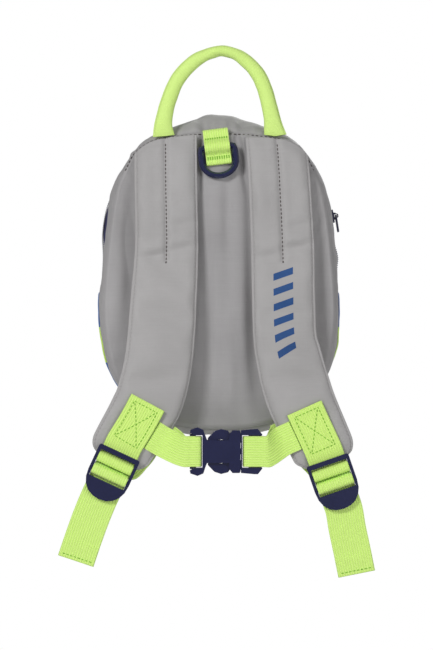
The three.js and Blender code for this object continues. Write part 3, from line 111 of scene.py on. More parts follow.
floor_mesh.materials.append(floor_finish)
scene.collection.objects.link(floor)
print("studio with a floor at", FLOOR_LEVEL, "m")

# %% [markdown]
# The sizes are the frame's own, in millimetres. Tables of shares give the outlines, as a pattern maker
# would note them: how far up, how far out.

# %% Sizes
MM = 0.001
PANEL_WIDTH, PANEL_HEIGHT, PANEL_BULGE, PANEL_WALL = 193, 246, 6, 3
BAG_DEPTH, TOP_PUFF, BOTTOM_PUFF, SIDE_PUFF = 98, 16, 7, 5
CLOTH, GAP = 2, 0.3
HANDLE_RISE, HANDLE_SPAN, HANDLE_WIDTH, HANDLE_DEPTH = 63.4, 92.4, 13, 9.5
TAB_WIDTH, TAB_LENGTH, TAB_DROP, TAB_ROLL, TAB_ASIDE = 21, 26.4, 12, 7, -1.9
RING_WIDTH, RING_DROP, RING_WIRE = 33.4, 26.5, 5
STRAP_WIDTH, STRAP_THICK, STRAP_DROP, STRAP_BOW = 52, 8.5, 270, 21
STRAP_ROUND, STRAP_INSET, RING_CLEAR, SEAM_FOLLOW = 13, 2, 2, 45
WEB_WIDTH, WEB_THICK, TAIL_LENGTH, HEM_LENGTH, SEWN_LENGTH = 30, 1.6, 96, 14, 46.5
CHEST_WIDTH, CHEST_SLACK = 25, 3
LOCK_THICK, LOCK_TOP_BAR, LOCK_BAR, LOCK_BAR_THICK = 4, 4, 3.5, 3
LOCK_SLOT, LOCK_MIDDLE_SLOT, LOCK_TAB = 4.5, 7, 15
BUCKLE_LENGTH, BUCKLE_BAR_THICK, BUCKLE_SLOT, BUCKLE_RISE, BUCKLE_ASIDE = 60, 4, 5.2, 3.8, 1.5
ZIP_WIDTH, ZIP_TAPE, ZIP_TAPE_THICK, ZIP_COIL = 6.4, 14, 1, 3.4
BAND_HEIGHT, BAND_RISE, BAND_THICK = 90, 32, 1
SEAM_TOP = -HANDLE_RISE
PANEL_BOTTOM = SEAM_TOP - PANEL_HEIGHT
PANEL_MIDDLE = SEAM_TOP - PANEL_HEIGHT / 2
BAG_WIDTH = PANEL_WIDTH + 2 * SIDE_PUFF
BAG_TOP = SEAM_TOP + TOP_PUFF
BAG_BOTTOM = PANEL_BOTTOM - BOTTOM_PUFF
BAG_MIDDLE = (BAG_TOP + BAG_BOTTOM) / 2
STRAP_PLACE = (RING_WIDTH + STRAP_WIDTH) / 2 + RING_CLEAR
ZIP_MIDDLE = 0.4
ZIP_FROM, ZIP_TO = -0.295, 0.285
ANCHOR_OUT = 0.57
COLUMN_SPREAD = 0.5

# up: share of the height; out: share of the half width
PANEL_OUTLINE = np.array([
    (0.998, 0.22), (0.978, 0.57), (0.958, 0.665), (0.93, 0.745), (0.88, 0.81), (0.827, 0.87), (0.745, 0.915),
    (0.64, 0.955), (0.42, 1), (0.31, 0.983), (0.205, 0.922), (0.134, 0.83), (0.075, 0.69), (0.03, 0.5),
    (0.007, 0.26)])
BAG_OUTLINE = np.array([
    (0.987, 0.24), (0.966, 0.39), (0.944, 0.533), (0.913, 0.655), (0.863, 0.765), (0.813, 0.842),
    (0.751, 0.9), (0.64, 0.95), (0.49, 0.985), (0.385, 1), (0.308, 0.983), (0.24, 0.95), (0.19, 0.896),
    (0.14, 0.817), (0.084, 0.7), (0.034, 0.517), (0.008, 0.29)])
# deep: share of the depth; full: how far from the seam to the girth; wide and tall: shares of the girth
BAG_SECTIONS = np.array([
    (0, 0, 1, 1), (0.04, 0.36, 1, 1), (0.1, 0.68, 1, 1), (0.19, 0.9, 1, 1), (0.29, 0.99, 1, 1),
    (0.4, 1, 1, 1), (0.52, 1, 0.995, 0.995), (0.66, 1, 0.965, 0.97), (0.79, 1, 0.905, 0.915),
    (0.9, 1, 0.79, 0.81), (0.965, 1, 0.62, 0.65), (0.993, 1, 0.36, 0.39), (1, 1, 0.1, 0.12)])
# round: share of the girth from the top; deep; spread round and reach deep; sink: share of the top's puff
BAG_FOLDS = np.array([
    (-0.0165, 0.07, 0.006, 0.1, 0.36), (-0.0115, 0.3, 0.009, 0.2, -0.12), (0.026, 0.1, 0.008, 0.13, 0.2),
    (0.01, 0.2, 0.014, 0.16, -0.1), (-0.188, 0.3, 0.016, 0.09, 0.42), (-0.318, 0.36, 0.022, 0.06, 0.3),
    (0.3, 0.2, 0.03, 0.12, 0.1), (0.66, 0.25, 0.03, 0.15, 0.12), (0.5, 0.3, 0.035, 0.2, 0.14),
    (0.42, 0.7, 0.03, 0.15, 0.12), (0.57, 0.72, 0.03, 0.15, 0.12)])
# across and up: shares of the panel; spread and reach likewise; sink: share of the panel's bulge
PANEL_FOLDS = np.array([
    (-0.13, 0.3, 0.06, 0.3, 0.45), (0.3, 0.26, 0.08, 0.26, 0.55), (0.06, 0.74, 0.05, 0.2, 0.3),
    (0.1, 0.12, 0.05, 0.1, -0.3)])
# down: share of the drop; aside: share of the way from the strap's top to the panel's side; bow: share of
# the bow; wide and thick: shares of the strap's width and thickness
STRAP_ROUTE = {
    "left": np.array([
        (0.0, 0.0, 0.0, 1.0, 0.55), (0.163, -0.009, 0.0, 0.996, 0.95), (0.34, -0.022, 0.08, 1.0, 1.0),
        (0.485, 0.017, 0.2, 1.04, 1.0), (0.675, 0.092, 0.45, 1.07, 1.0), (0.793, 0.22, 0.66, 1.08, 0.98),
        (0.856, 0.372, 0.78, 1.05, 0.92), (0.948, 0.65, 0.94, 1.0, 0.82), (0.999, 0.777, 1.0, 0.98, 0.7)]),
    "right": np.array([
        (0.0, 0.051, 0.0, 1.0, 0.55), (0.139, 0.092, 0.0, 0.98, 0.95), (0.337, 0.139, 0.08, 1.0, 1.0),
        (0.478, 0.152, 0.2, 1.0, 1.0), (0.612, 0.172, 0.38, 1.0, 1.0), (0.68, 0.234, 0.48, 1.04, 1.0),
        (0.773, 0.358, 0.64, 1.07, 0.98), (0.839, 0.484, 0.76, 1.05, 0.92), (0.955, 0.759, 0.94, 1.0, 0.82),
        (1.003, 0.85, 1.0, 0.97, 0.7)]),
}
# inner: the way to the bag's middle; lock_drop and chest_above: mm from the strap's end; slant: shares of
# the webbing's width that it lies inwards above the lock; tail: shares of its length, down and across
SIDES = {
    "left": dict(inner=1, lock_drop=-9.2, chest_above=34, slant=(0.42, 0.34, 0.22),
                 tail=[(0.62, 0.008), (0.84, 0.028), (1, 0.046)]),
    "right": dict(inner=-1, lock_drop=-3.2, chest_above=32, slant=(0.3, 0.15, 0.03),
                  tail=[(0.6, -0.025), (0.8, -0.05), (1, -0.077)]),
}
# across: share of half the span; up: share of the rise; wide, thick and fore: shares of the tube's size
HANDLE_ROUTE = np.array([
    (-1.0, 0.0, 1.42, 0.4, 0.24), (-1.007, 0.17, 1.12, 0.8, 0.2), (-0.944, 0.38, 1.0, 1.0, 0.1),
    (-0.853, 0.57, 0.97, 1.0, 0.0), (-0.719, 0.75, 0.94, 1.0, 0.0), (-0.468, 0.93, 0.88, 1.0, 0.0),
    (-0.22, 1.03, 0.78, 1.05, 0.0), (0.005, 1.07, 0.7, 1.1, 0.0), (0.21, 1.05, 0.74, 1.05, 0.0),
    (0.405, 0.985, 0.83, 1.0, 0.0), (0.656, 0.815, 0.93, 1.0, 0.0), (0.8, 0.62, 0.97, 1.0, 0.0),
    (0.9, 0.37, 1.0, 1.0, 0.1), (0.955, 0.17, 1.12, 0.8, 0.2), (1.0, 0.0, 1.45, 0.4, 0.24)])
print("bag", BAG_WIDTH, "by", BAG_TOP - BAG_BOTTOM, "by", BAG_DEPTH, "mm")

# %% [markdown]
# Two ways of drawing a smooth line serve the whole bag: through the rows of a table, and through points
# in space. Both pass exactly through what they are given, so a seam stays where the pattern puts it.

# %% Smooth lines


def unit(v):
    return v / np.maximum(np.linalg.norm(v, axis=-1, keepdims=True), 1e-9)


def bell(distance, width):
    return np.exp(-((distance / width) ** 2))


def ease(value, low, high):
    share = np.clip((value - low) / (high - low), 0, 1)
    return share * share * (3 - 2 * share)


def between(column, at):
    """Smooth values between the rows of a table's column."""
    column = np.asarray(column, float)
    last = len(column) - 1
    padded = np.concatenate([[2 * column[0] - column[1]], column, [2 * column[-1] - column[-2]]])
    low = np.clip(np.floor(at).astype(int), 0, last - 1)
    share = at - low
    before, here, there, after = (padded[low + step] for step in range(4))
    slope_in, slope_out = (there - before) / 2, (after - here) / 2
    square, cube = share ** 2, share ** 3
    return ((2 * cube - 3 * square + 1) * here + (cube - 2 * square + share) * slope_in
            + (3 * square - 2 * cube) * there + (cube - square) * slope_out)


def curve_through(points, shares, closed=False):
    """Points on a centripetal curve through points; shares run from 0 to 1 by the points' count."""
    points = np.asarray(points, float)
    count = len(points)
    at = np.asarray(shares, float) * (count if closed else count - 1)
    low = np.floor(at).astype(int)
    if not closed:
        low = np.clip(low, 0, count - 2)
    weight = (at - low)[:, None]
    if closed:
        corners = [points[(low + step) % count] for step in (-1, 0, 1, 2)]
    else:
        padded = np.concatenate([[2 * points[0] - points[1]], points, [2 * points[-1] - points[-2]]])
        corners = [padded[low + step] for step in range(4)]
    p0, p1, p2, p3 = corners
    d0, d1, d2 = (np.sqrt(np.linalg.norm(b - a, axis=1, keepdims=True))
                  for a, b in ((p0, p1), (p1, p2), (p2, p3)))
    t1 = ((p1 - p0) / d0 - (p2 - p0) / (d0 + d1) + (p2 - p1) / d1) * d1
    t2 = ((p2 - p1) / d1 - (p3 - p1) / (d1 + d2) + (p3 - p2) / d2) * d1
    return (p1 + t1 * weight + (-3 * p1 + 3 * p2 - 2 * t1 - t2) * weight ** 2
            + (2 * p1 - 2 * p2 + t1 + t2) * weight ** 3)


def lengths_along(line):
    """How far along a line each of its points lies."""
    return np.concatenate([[0], np.cumsum(np.linalg.norm(np.diff(line, axis=0), axis=1))])


def looked_up(at, marks, values):
    """Every column of the values, read between its marks."""
    return np.stack([np.interp(at, marks, column) for column in values.T], axis=1)


def spaced_along(points, shares):
    """Points at shares of a closed curve's real length."""
    marks = np.linspace(0, 1, 601)
    lengths = lengths_along(curve_through(points, marks, True))
    return curve_through(points, np.interp(np.asarray(shares) * lengths[-1], lengths, marks), True)


def outline_points(table, half_width, low, high, rounds):
    right = np.stack([table[:, 1] * half_width, low + (high - low) * table[:, 0]], axis=1)
    left = (right * (-1, 1))[::-1]
    points = np.concatenate([[(0, high)], right, [(0, low)], left])
    return spaced_along(points, np.asarray(rounds) % 1)


def seam_at(rounds):
    return outline_points(PANEL_OUTLINE, PANEL_WIDTH / 2, PANEL_BOTTOM, SEAM_TOP, rounds)


def fullest_at(rounds):
    return outline_points(BAG_OUTLINE, BAG_WIDTH / 2, BAG_BOTTOM, BAG_TOP, rounds)


def apart(first, second):
    away = np.abs(first - second) % 1
    return np.minimum(away, 1 - away)


print("the back seam is", round(float(lengths_along(seam_at(np.linspace(0, 1, 361)))[-1])), "mm round")

# %% [markdown]
# Cloth and webbing are made as a weaver sees them, as rows and columns of points. The same few functions
# join the points to faces, close the ends of a tube, turn the faces outwards and add small ruffles.

# %% Meshes from grids of points


def mesh_piece(name, points, faces, finish, body, replaced=(), uv=None):
    """A piece from points in millimetres. It rides on a body and may stand for CAD nodes."""
    mesh = bpy.data.meshes.new(name)
    mesh.from_pydata((np.asarray(points) * MM).tolist(), [], [tuple(int(i) for i in face) for face in faces])
    if uv is not None:
        layer = mesh.uv_layers.new(name="run")
        corner = np.empty(len(mesh.loops), int)
        mesh.loops.foreach_get("vertex_index", corner)
        layer.data.foreach_set("uv", np.asarray(uv, float)[corner].ravel())
    mesh.validate()
    mesh.polygons.foreach_set("use_smooth", np.ones(len(mesh.polygons), bool))
    mesh.materials.append(finish)
    piece = bpy.data.objects.new(name, mesh)
    scene.collection.objects.link(piece)
    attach(piece, body)
    if replaced:
        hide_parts(*replaced)
    return piece


def grid_faces(rows, columns, wrap_rows=False, wrap_columns=False, start=0):
    across = np.arange(columns if wrap_columns else columns - 1)
    along = np.arange(rows if wrap_rows else rows - 1)
    r, c = (axis.ravel() for axis in np.meshgrid(along, across, indexing="ij"))
    r2, c2 = (r + 1) % rows, (c + 1) % columns
    return (np.stack([r * columns + c, r * columns + c2, r2 * columns + c2, r2 * columns + c], axis=1)
            + start).tolist()


def cap_faces(rows, columns):
    """Closes both ends of a flat tube whose rings run over the front's columns and back over the back's."""
    caps = []
    for end in (0, (rows - 1) * 2 * columns):
        for low in range(columns - 1):
            high = 2 * columns - 1 - low
            cap = (end + low, end + high, end + high - 1, end + low + 1)
            caps.append(cap if end == 0 else cap[::-1])
    return caps


def end_faces(rows, columns, start=0):
    """Closes both ends of a tube of rings with one face each."""
    last = start + (rows - 1) * columns
    return [tuple(range(start, start + columns))[::-1], tuple(range(last, last + columns))]


def facing_out(points, faces):
    """Turns the faces round if they would face into the body."""
    points = np.asarray(points)
    total = 0.0
    for face in faces:
        a = points[face[0]]
        for second, third in zip(face[1:-1], face[2:]):
            total += np.dot(a, np.cross(points[second], points[third]))
    return faces if total > 0 else [tuple(reversed(face)) for face in faces]


def two_faced(front, back, run=None):
    """Points, faces and coordinates of a closed flat piece from the grids of its two faces."""
    rows, columns = front.shape[:2]
    points = np.concatenate([front, back[:, ::-1]], axis=1).reshape(-1, 3)
    faces = facing_out(points, grid_faces(rows, 2 * columns, wrap_columns=True) + cap_faces(rows, columns))
    uv = None if run is None else np.concatenate([run, run[:, ::-1]], axis=1).reshape(-1, 2)
    return points, faces, uv


def grid_normals(grid, wrap=True):
    """Unit normals of a grid of points, rows by columns."""
    if wrap:
        across = np.roll(grid, -1, axis=1) - np.roll(grid, 1, axis=1)
    else:
        across = np.gradient(grid, axis=1)
    return unit(np.cross(across, np.gradient(grid, axis=0)))


def ruffle(points, pitch, seed):
    """Smooth noise from -1 to 1 at each point, with waves about as long as the pitch."""
    shift = Vector((seed * 17.3, seed * 5.1, seed * 9.7))
    flat = np.asarray(points).reshape(-1, 3)
    values = [noise.noise(Vector(point) / pitch + shift) for point in flat.tolist()]
    return np.array(values).reshape(np.asarray(points).shape[:-1])


def waves(points, table):
    """The sum of ruffles whose stretch, pitch, seed and height are the rows of a table."""
    return sum(ruffle(points * stretch, pitch, seed) * height for stretch, pitch, seed, height in table)


tube_faces = grid_faces(5, 6, wrap_columns=True) + end_faces(5, 6)
print("a tube of 5 rings with 6 points has", len(tube_faces), "faces")

# %% [markdown]
# Seams are drawn with single stitches, each a small bent bead of thread that dips into the cloth at both
# ends, because a painted line of dashes has no shadow.

# %% Stitches
STITCH, STITCH_GAP, THREAD = 2.3, 0.9, 0.34
THREAD_SIDES, BEAD_RINGS = 6, 5
BEAD_RISE, BEAD_SUNK, BEAD_TIP = 0.9, 0.5, 0.35  # shares of the thread's radius


def stitch_rows(name, lines, finish, radius=THREAD, stitch=STITCH, gap=STITCH_GAP):
    """Rows of sewn thread. Each line is points and outward directions; every stitch is a small bent bead."""
    points, faces = [], []
    turn = np.arange(THREAD_SIDES) / THREAD_SIDES * 2 * math.pi
    shares = np.linspace(0, 1, BEAD_RINGS)
    arc = np.sin(shares * math.pi)
    size = radius * (BEAD_TIP + (1 - BEAD_TIP) * np.sqrt(arc))
    for line, outward in lines:
        length = lengths_along(line)
        count = max(1, int(length[-1] // (stitch + gap)))
        pitch = length[-1] / count
        for number in range(count):
            marks = number * pitch + gap / 2 + (pitch - gap) * shares
            out = unit(looked_up(marks, length, outward))
            middle = looked_up(marks, length, line) + out * (arc * BEAD_RISE - BEAD_SUNK)[:, None] * radius
            beside = unit(np.cross(unit(np.gradient(middle, axis=0)), out))
            faces += grid_faces(BEAD_RINGS, THREAD_SIDES, wrap_columns=True, start=len(points))
            faces += end_faces(BEAD_RINGS, THREAD_SIDES, len(points))
            for row in range(BEAD_RINGS):
                round_thread = beside[row] * np.cos(turn)[:, None] + out[row] * np.sin(turn)[:, None]
                points.extend(middle[row] + round_thread * size[row])
    mesh_piece(name, points, faces, finish, "bag")


print("a plain seam has a stitch every", round(STITCH + STITCH_GAP, 1), "mm")

# %% [markdown]
# ## Finishes
# Every finish is a small tree of shader nodes. The helpers add the parts that cloth, webbing and plastic
# share: smooth noise in the piece's own coordinates, sums, blends of two colours and bumps.

# %% Finish helpers


def colour(red, green, blue):
    """A colour that was picked on a screen, made linear."""
    shares = (red / 255, green / 255, blue / 255)
    return (*(c / 12.92 if c <= 0.04045 else ((c + 0.055) / 1.055) ** 2.4 for c in shares), 1)


def deeper(tint, share):
    return tuple(c * share for c in tint[:3]) + (1,)


class Finish:
    """A material and short ways to add its nodes."""

    def __init__(self, name):
        self.material = bpy.data.materials.new(name)
        self.material.use_nodes = True
        self.tree = self.material.node_tree
        self.shader = self.tree.nodes["Principled BSDF"]

    def put(self, socket, value):
        """Links another node's output, or sets a constant."""
        if isinstance(value, bpy.types.NodeSocket):
            self.tree.links.new(value, socket)
        else:
            socket.default_value = value

    def node(self, kind, settings=None, **sockets):
        made = self.tree.nodes.new(kind)
        for key, value in (settings or {}).items():
            setattr(made, key, value)
        for key, value in sockets.items():
            self.put(made.inputs[key.replace("_", " ")], value)
        return made

    def sum(self, kind, *values):
        made = self.node("ShaderNodeMath", {"operation": kind})
        for socket, value in zip(made.inputs, values):
            self.put(socket, value)
        return made.outputs[0]

    def place(self):
        return self.node("ShaderNodeTexCoord").outputs["Object"]

    def run(self):
        """The piece's own coordinates in millimetres: both together, and each by itself."""
        both = self.node("ShaderNodeUVMap", {"uv_map": "run"}).outputs["UV"]
        parts = self.node("ShaderNodeSeparateXYZ", None, Vector=both)
        return both, parts.outputs["X"], parts.outputs["Y"]

    def noise(self, place, scale, detail, stretch=None, roughness=0.5):
        if stretch:
            place = self.node("ShaderNodeMapping", None, Vector=place, Scale=stretch).outputs["Vector"]
        return self.node("ShaderNodeTexNoise", None, Vector=place, Scale=scale, Detail=detail,
                         Roughness=roughness).outputs["Fac"]

    def ranged(self, value, **ends):
        return self.node("ShaderNodeMapRange", None, Value=value, **ends).outputs["Result"]

    def blend(self, share, first, second):
        made = self.node("ShaderNodeMix", {"data_type": "RGBA"}, Factor=share)
        self.put(made.inputs[6], first)
        self.put(made.inputs[7], second)
        return made.outputs[2]

    def bump(self, height, distance, strength, **below):
        return self.node("ShaderNodeBump", None, Height=height, Distance=distance, Strength=strength,
                         **below).outputs["Normal"]

    def set(self, **sockets):
        for key, value in sockets.items():
            self.put(self.shader.inputs[key.replace("_", " ")], value)


print("a mid grey on screen is", round(colour(128, 128, 128)[0], 3), "in linear light")

# %% [markdown]
# The grey cloth is a plain polyester weave with a soft silky sheen. Threads of slightly unequal weight
# run across it, so the shader mixes two greys by a noise that is stretched along the weft, and a fine
# weave and a few shallow creases go into the bump. One strap has a printed row of slanted blue bars.

# %% Grey cloth
PRINT_FROM, PRINT_TO, PRINT_HALF = 109, 184, 8  # mm down the strap, and half the motif's width
PRINT_PITCH, PRINT_LEAN, PRINT_SHARE = 12.6, 0.35, 0.46
YARN = 2600  # noise waves in a metre across the yarn
YARN_RUN = 60  # noise waves in a metre along the yarn


def slanted_bars(finish):
    """A share that is 1 on the printed bars of the strap's motif and 0 beside them."""
    _, across, down = finish.run()
    leaning = finish.sum("ADD", down, finish.sum("MULTIPLY", across, PRINT_LEAN))
    step = finish.sum("FRACT", finish.sum("DIVIDE", leaning, PRINT_PITCH))
    bar = finish.sum("LESS_THAN", step, PRINT_SHARE)
    wide = finish.sum("LESS_THAN", finish.sum("ABSOLUTE", across), PRINT_HALF)
    long = finish.sum("MULTIPLY", finish.sum("GREATER_THAN", leaning, PRINT_FROM),
                      finish.sum("LESS_THAN", leaning, PRINT_TO))
    return finish.sum("MULTIPLY", bar, finish.sum("MULTIPLY", wide, long))


def grey_cloth(name, light, dark, printed=False):
    finish = Finish(name)
    place = finish.place()
    weft = finish.noise(place, 1.0, 2.0, (YARN_RUN, YARN_RUN, YARN))
    warp = finish.noise(place, 1.0, 2.0, (YARN, YARN, YARN_RUN))
    weave = finish.sum("ADD", finish.sum("MULTIPLY", weft, 0.6), finish.sum("MULTIPLY", warp, 0.4))
    cloud = finish.noise(place, 16.0, 4.0)
    tone = finish.sum("ADD", finish.sum("MULTIPLY", weave, 0.4), finish.sum("MULTIPLY", cloud, 0.6))
    share = finish.ranged(tone, From_Min=0.3, From_Max=0.7)
    creases = finish.noise(place, 55.0, 5.0, (1, 1, 0.6), 0.55)
    normal = finish.bump(weave, 0.00025, 0.6, Normal=finish.bump(creases, 0.0012, 0.22))
    tint = finish.blend(share, dark, light)
    if printed:
        ink = finish.blend(share, colour(28, 66, 118), colour(42, 86, 146))
        tint = finish.blend(slanted_bars(finish), tint, ink)
    finish.set(Base_Color=tint, Roughness=0.62, Normal=normal,
               Sheen_Weight=0.25, Sheen_Roughness=0.4, Specular_IOR_Level=0.35)
    return finish.material


body_cloth = grey_cloth("body_cloth", colour(172, 170, 171), colour(154, 152, 153))
strap_cloth = grey_cloth("strap_cloth", colour(177, 175, 175), colour(163, 161, 161))
printed_cloth = grey_cloth("printed_cloth", colour(177, 175, 175), colour(163, 161, 161), printed=True)
edge_cloth = grey_cloth("edge_cloth", colour(176, 174, 174), colour(164, 162, 162))
print("greys:", ", ".join(cloth.name for cloth in (body_cloth, strap_cloth, printed_cloth, edge_cloth)))

# %% [markdown]
# Webbing is woven from thick shiny yarn. Ribs run along it, and every rib is crossed by small ticks where
# the weft passes over, offset from one rib to the next. Its colour follows them: the low parts between ribs
# and ticks are painted darker as shade, and a noise adds the yarn's own uneven tone. The run of each band
# is kept in its own coordinates, along and across in millimetres, so the ribs follow the band round its
# bends. Threads are plain twisted strands in lime, a dark grey whose darkness is partly the thread's own
# and partly painted shade of the needle holes, and a soft grey that hardly shows.

# %% Lime webbing
RIB_PITCH, TICK_PITCH = 2.0, 1.3
TICK_HEIGHT, YARN_ROUGH = 0.28, 0.6  # shares of the tone


def lime_webbing(name, light, dark, rib_height):
    finish = Finish(name)
    both, along, across = finish.run()
    turn = 2 * math.pi
    rib = finish.sum("COSINE", finish.sum("MULTIPLY", across, turn / RIB_PITCH))
    half_rib = finish.sum("MULTIPLY", finish.sum("FLOOR", finish.sum("MULTIPLY", across, 2 / RIB_PITCH)), 0.5)
    ticks = finish.sum("ADD", finish.sum("DIVIDE", along, TICK_PITCH), half_rib)
    tick = finish.sum("SINE", finish.sum("MULTIPLY", ticks, turn))
    rough = finish.noise(both, 1.0, 3.0, (0.6, 2.2, 1))
    height = finish.sum("ADD", finish.sum("MULTIPLY", rib, rib_height),
                        finish.sum("MULTIPLY", tick, TICK_HEIGHT))
    # The tone is painted shade in the low parts of the ribs and ticks, set by rib_height, plus the yarn's own
    # uneven tone.
    tone = finish.sum("ADD", height, finish.sum("MULTIPLY", rough, YARN_ROUGH))
    share = finish.ranged(tone, From_Min=-0.5, From_Max=0.9)
    finish.set(Base_Color=finish.blend(share, dark, light), Roughness=0.55,
               Normal=finish.bump(height, 0.0003, 0.8), Sheen_Weight=0.15, Sheen_Roughness=0.4,
               Specular_IOR_Level=0.4)
    return finish.material


def thread(name, tint):
    finish = Finish(name)
    strands = finish.noise(finish.place(), 3000.0, 1.0)
    finish.set(Base_Color=finish.blend(strands, deeper(tint, 0.7), tint), Roughness=0.5,
               Normal=finish.bump(strands, 0.0001, 0.5))
    return finish.material


webbing = lime_webbing("lime_webbing", colour(228, 255, 150), colour(204, 253, 106), 0.35)
load_webbing = lime_webbing("load_webbing", colour(228, 255, 146), colour(202, 251, 103), 0.3)
handle_webbing = lime_webbing("handle_webbing", colour(230, 255, 156), colour(206, 250, 114), 0.15)
lime_thread = thread("lime_thread", colour(140, 205, 50))
# A dark thread whose colour is partly its own and partly painted shade of the needle holes and the groove the
# stitches sink into.
dark_thread_and_shade = thread("dark_thread_and_shade", colour(78, 70, 68))
soft_thread = thread("soft_thread", colour(168, 165, 164))
print("the strap webbing has", round(WEB_WIDTH / RIB_PITCH), "ribs across")

# %% [markdown]
# The fittings are moulded in navy acetal. It is glossy but not polished: the tool's fine grain breaks the
# highlights, and the mould leaves the colour a little deeper in some places. The zip's tapes are woven.

# %% Navy plastic and tape


def navy_plastic(name, tint, gloss):
    finish = Finish(name)
    place = finish.place()
    grain = finish.noise(place, 1400.0, 3.0)
    cloud = finish.noise(place, 60.0, 3.0)
    finish.set(Base_Color=finish.blend(cloud, deeper(tint, 0.75), tint),
               Roughness=finish.ranged(cloud, To_Min=gloss - 0.06, To_Max=gloss + 0.08),
               Normal=finish.bump(grain, 0.00005, 0.4), Coat_Weight=0.6, Coat_Roughness=0.12)
    return finish.material


def navy_tape(name):
    finish = Finish(name)
    weave = finish.noise(finish.place(), 1500.0, 2.0)
    finish.set(Base_Color=finish.blend(weave, colour(26, 27, 66), colour(48, 48, 100)), Roughness=0.7,
               Normal=finish.bump(weave, 0.0002, 0.6), Sheen_Weight=0.2)
    return finish.material


plastic = navy_plastic("navy_plastic", colour(24, 29, 72), 0.22)
zip_paint = navy_plastic("zip_paint", colour(34, 34, 74), 0.3)
tape_cloth = navy_tape("zip_tape")
print("navy:", ", ".join(navy.name for navy in (plastic, zip_paint, tape_cloth)))

# %% [markdown]
# The band across the front is woven in squares of blue and lime, three rows high. The squares are counted
# along the cloth itself, and one is centred on the middle of the front.

# %% Check cloth
CHECK = BAND_HEIGHT / 3


def check_finish(name):
    finish = Finish(name)
    _, along, up = finish.run()
    column = finish.sum("FLOOR", finish.sum("ADD", finish.sum("DIVIDE", along, CHECK), 0.5))
    row = finish.sum("FLOOR", finish.sum("DIVIDE", up, CHECK))
    odd = finish.sum("FLOORED_MODULO", finish.sum("ADD", column, row), 2.0)
    weave = finish.noise(finish.place(), 2400.0, 1.0)
    print_share = finish.ranged(weave, To_Min=0.85, To_Max=1.0)
    cloth = finish.blend(odd, colour(52, 104, 178), colour(214, 252, 112))
    finish.set(Base_Color=finish.blend(print_share, colour(40, 60, 80), cloth), Roughness=0.6,
               Normal=finish.bump(weave, 0.00025, 0.6), Sheen_Weight=0.2)
    return finish.material


check_cloth = check_finish("check_cloth")
print("finishes", len(bpy.data.materials), "with squares of", round(CHECK), "mm")

# %% [markdown]
# ## The bag
# The bag's cloth is a bent sheet between two closed outlines: the back seam and the fullest girth. Deep
# runs from 0 at the back seam to 1 at the front. Folds sink or lift the sheet. The cloth is gathered into
# the top seam, so small puckers fade away from the stitching.

# %% Bag surface
FLAT_BY_SEAM = 0.05  # share of the depth over which folds fade towards the back seam


def bag_sheet(rounds, deeps):
    """The bag's outer cloth, a row of points for each depth."""
    rounds, deeps = np.asarray(rounds, float), np.asarray(deeps, float)
    rows = np.interp(deeps, BAG_SECTIONS[:, 0], np.arange(len(BAG_SECTIONS)))
    full, wide, tall = (between(BAG_SECTIONS[:, column], rows)[:, None] for column in (1, 2, 3))
    seam, fullest = seam_at(rounds), fullest_at(rounds)
    x = (seam[:, 0] + (fullest[:, 0] - seam[:, 0]) * full) * wide
    z = BAG_MIDDLE + (seam[:, 1] + (fullest[:, 1] - seam[:, 1]) * full - BAG_MIDDLE) * tall
    sheet = np.stack([x, np.broadcast_to(deeps[:, None] * BAG_DEPTH, x.shape), z], axis=2)
    outward = unit((sheet - (0, 0, BAG_MIDDLE)) * (1, 0, 1))
    sink = np.zeros_like(x)
    for at, deep, spread, reach, depth in BAG_FOLDS:
        around = bell(apart(rounds % 1, at % 1), spread)
        sink += depth * TOP_PUFF * around[None] * bell(deeps - deep, reach)[:, None]
    sink *= np.minimum(1, deeps / FLAT_BY_SEAM)[:, None]
    return sheet - outward * sink[:, :, None]


def eased_rounds(count):
    even = np.arange(count) / count
    return even - COLUMN_SPREAD * np.sin(2 * math.pi * even) / (2 * math.pi)


def panel_share(x, z):
    """How far out a place on the back panel lies: 0 in the middle, 1 at the seam."""
    marks = seam_at(np.arange(720) / 720)
    turns = np.unwrap(np.arctan2(marks[:, 0], marks[:, 1] - PANEL_MIDDLE))
    reach = np.hypot(marks[:, 0], marks[:, 1] - PANEL_MIDDLE)
    angle = np.arctan2(x, z - PANEL_MIDDLE) % (2 * math.pi)
    return np.minimum(1, np.hypot(x, z - PANEL_MIDDLE) / np.interp(angle, turns, reach, period=2 * math.pi))


def panel_face(x, z):
    """The back panel's outer face as the frame has it, for what lies on it."""
    x, z = np.asarray(x, float), np.asarray(z, float)
    share = panel_share(x, z)
    rise = PANEL_BULGE * (1 - share ** 2.5)
    for across, up, spread, reach, sink in PANEL_FOLDS:
        rise = rise - (sink * PANEL_BULGE * bell(x / (PANEL_WIDTH / 2) - across, spread)
                       * bell((z - PANEL_BOTTOM) / PANEL_HEIGHT - up, reach) * (1 - share ** 4))
    return -PANEL_WALL - rise


print("the panel's middle stands", round(-float(panel_face(0, PANEL_MIDDLE)), 1), "mm out from the seam")

# %% [markdown]
# The back panel is cloth over thin foam, sewn to the gusset all round. The stitches draw the cloth in, so
# puckers run inwards from the seam. Sharper creases hang from the ends of the straps and from the ring's
# tab, and wide soft ones run down between the straps where the bag bends.

# %% Back panel
PANEL_COLUMNS, PANEL_RINGS = 360, 110
SEAM_PUCKER = 9  # mm between the puckers that the stitching draws
TOP_SEWN = 0.125  # share of the seam, either side of its top, where its stitches lie open
PANEL_REACH = 100  # mm from the panel's middle to its seam, taken alike on all sides
ROLLED, ROLLED_FACE, RIM_FACE = 3.2, 0.4, 0.02  # mm: how far in the cloth is rolled under, and how thin there
PUCKER_DEEP, PUCKER_IN, PUCKER_FADE = 1.3, 5, 7  # mm: the puckers' height, place inside the seam and reach
LEAST_FACE = 0.35
PANEL_WAVES = [((1, 1, 0.35), 26, 5, 1.1), ((1, 1, 0.6), 11, 6, 0.35)]
SEAM_ROW_IN, SEAM_ROW_OUT = 0.992, 1.5  # share of the seam, and mm in front of it
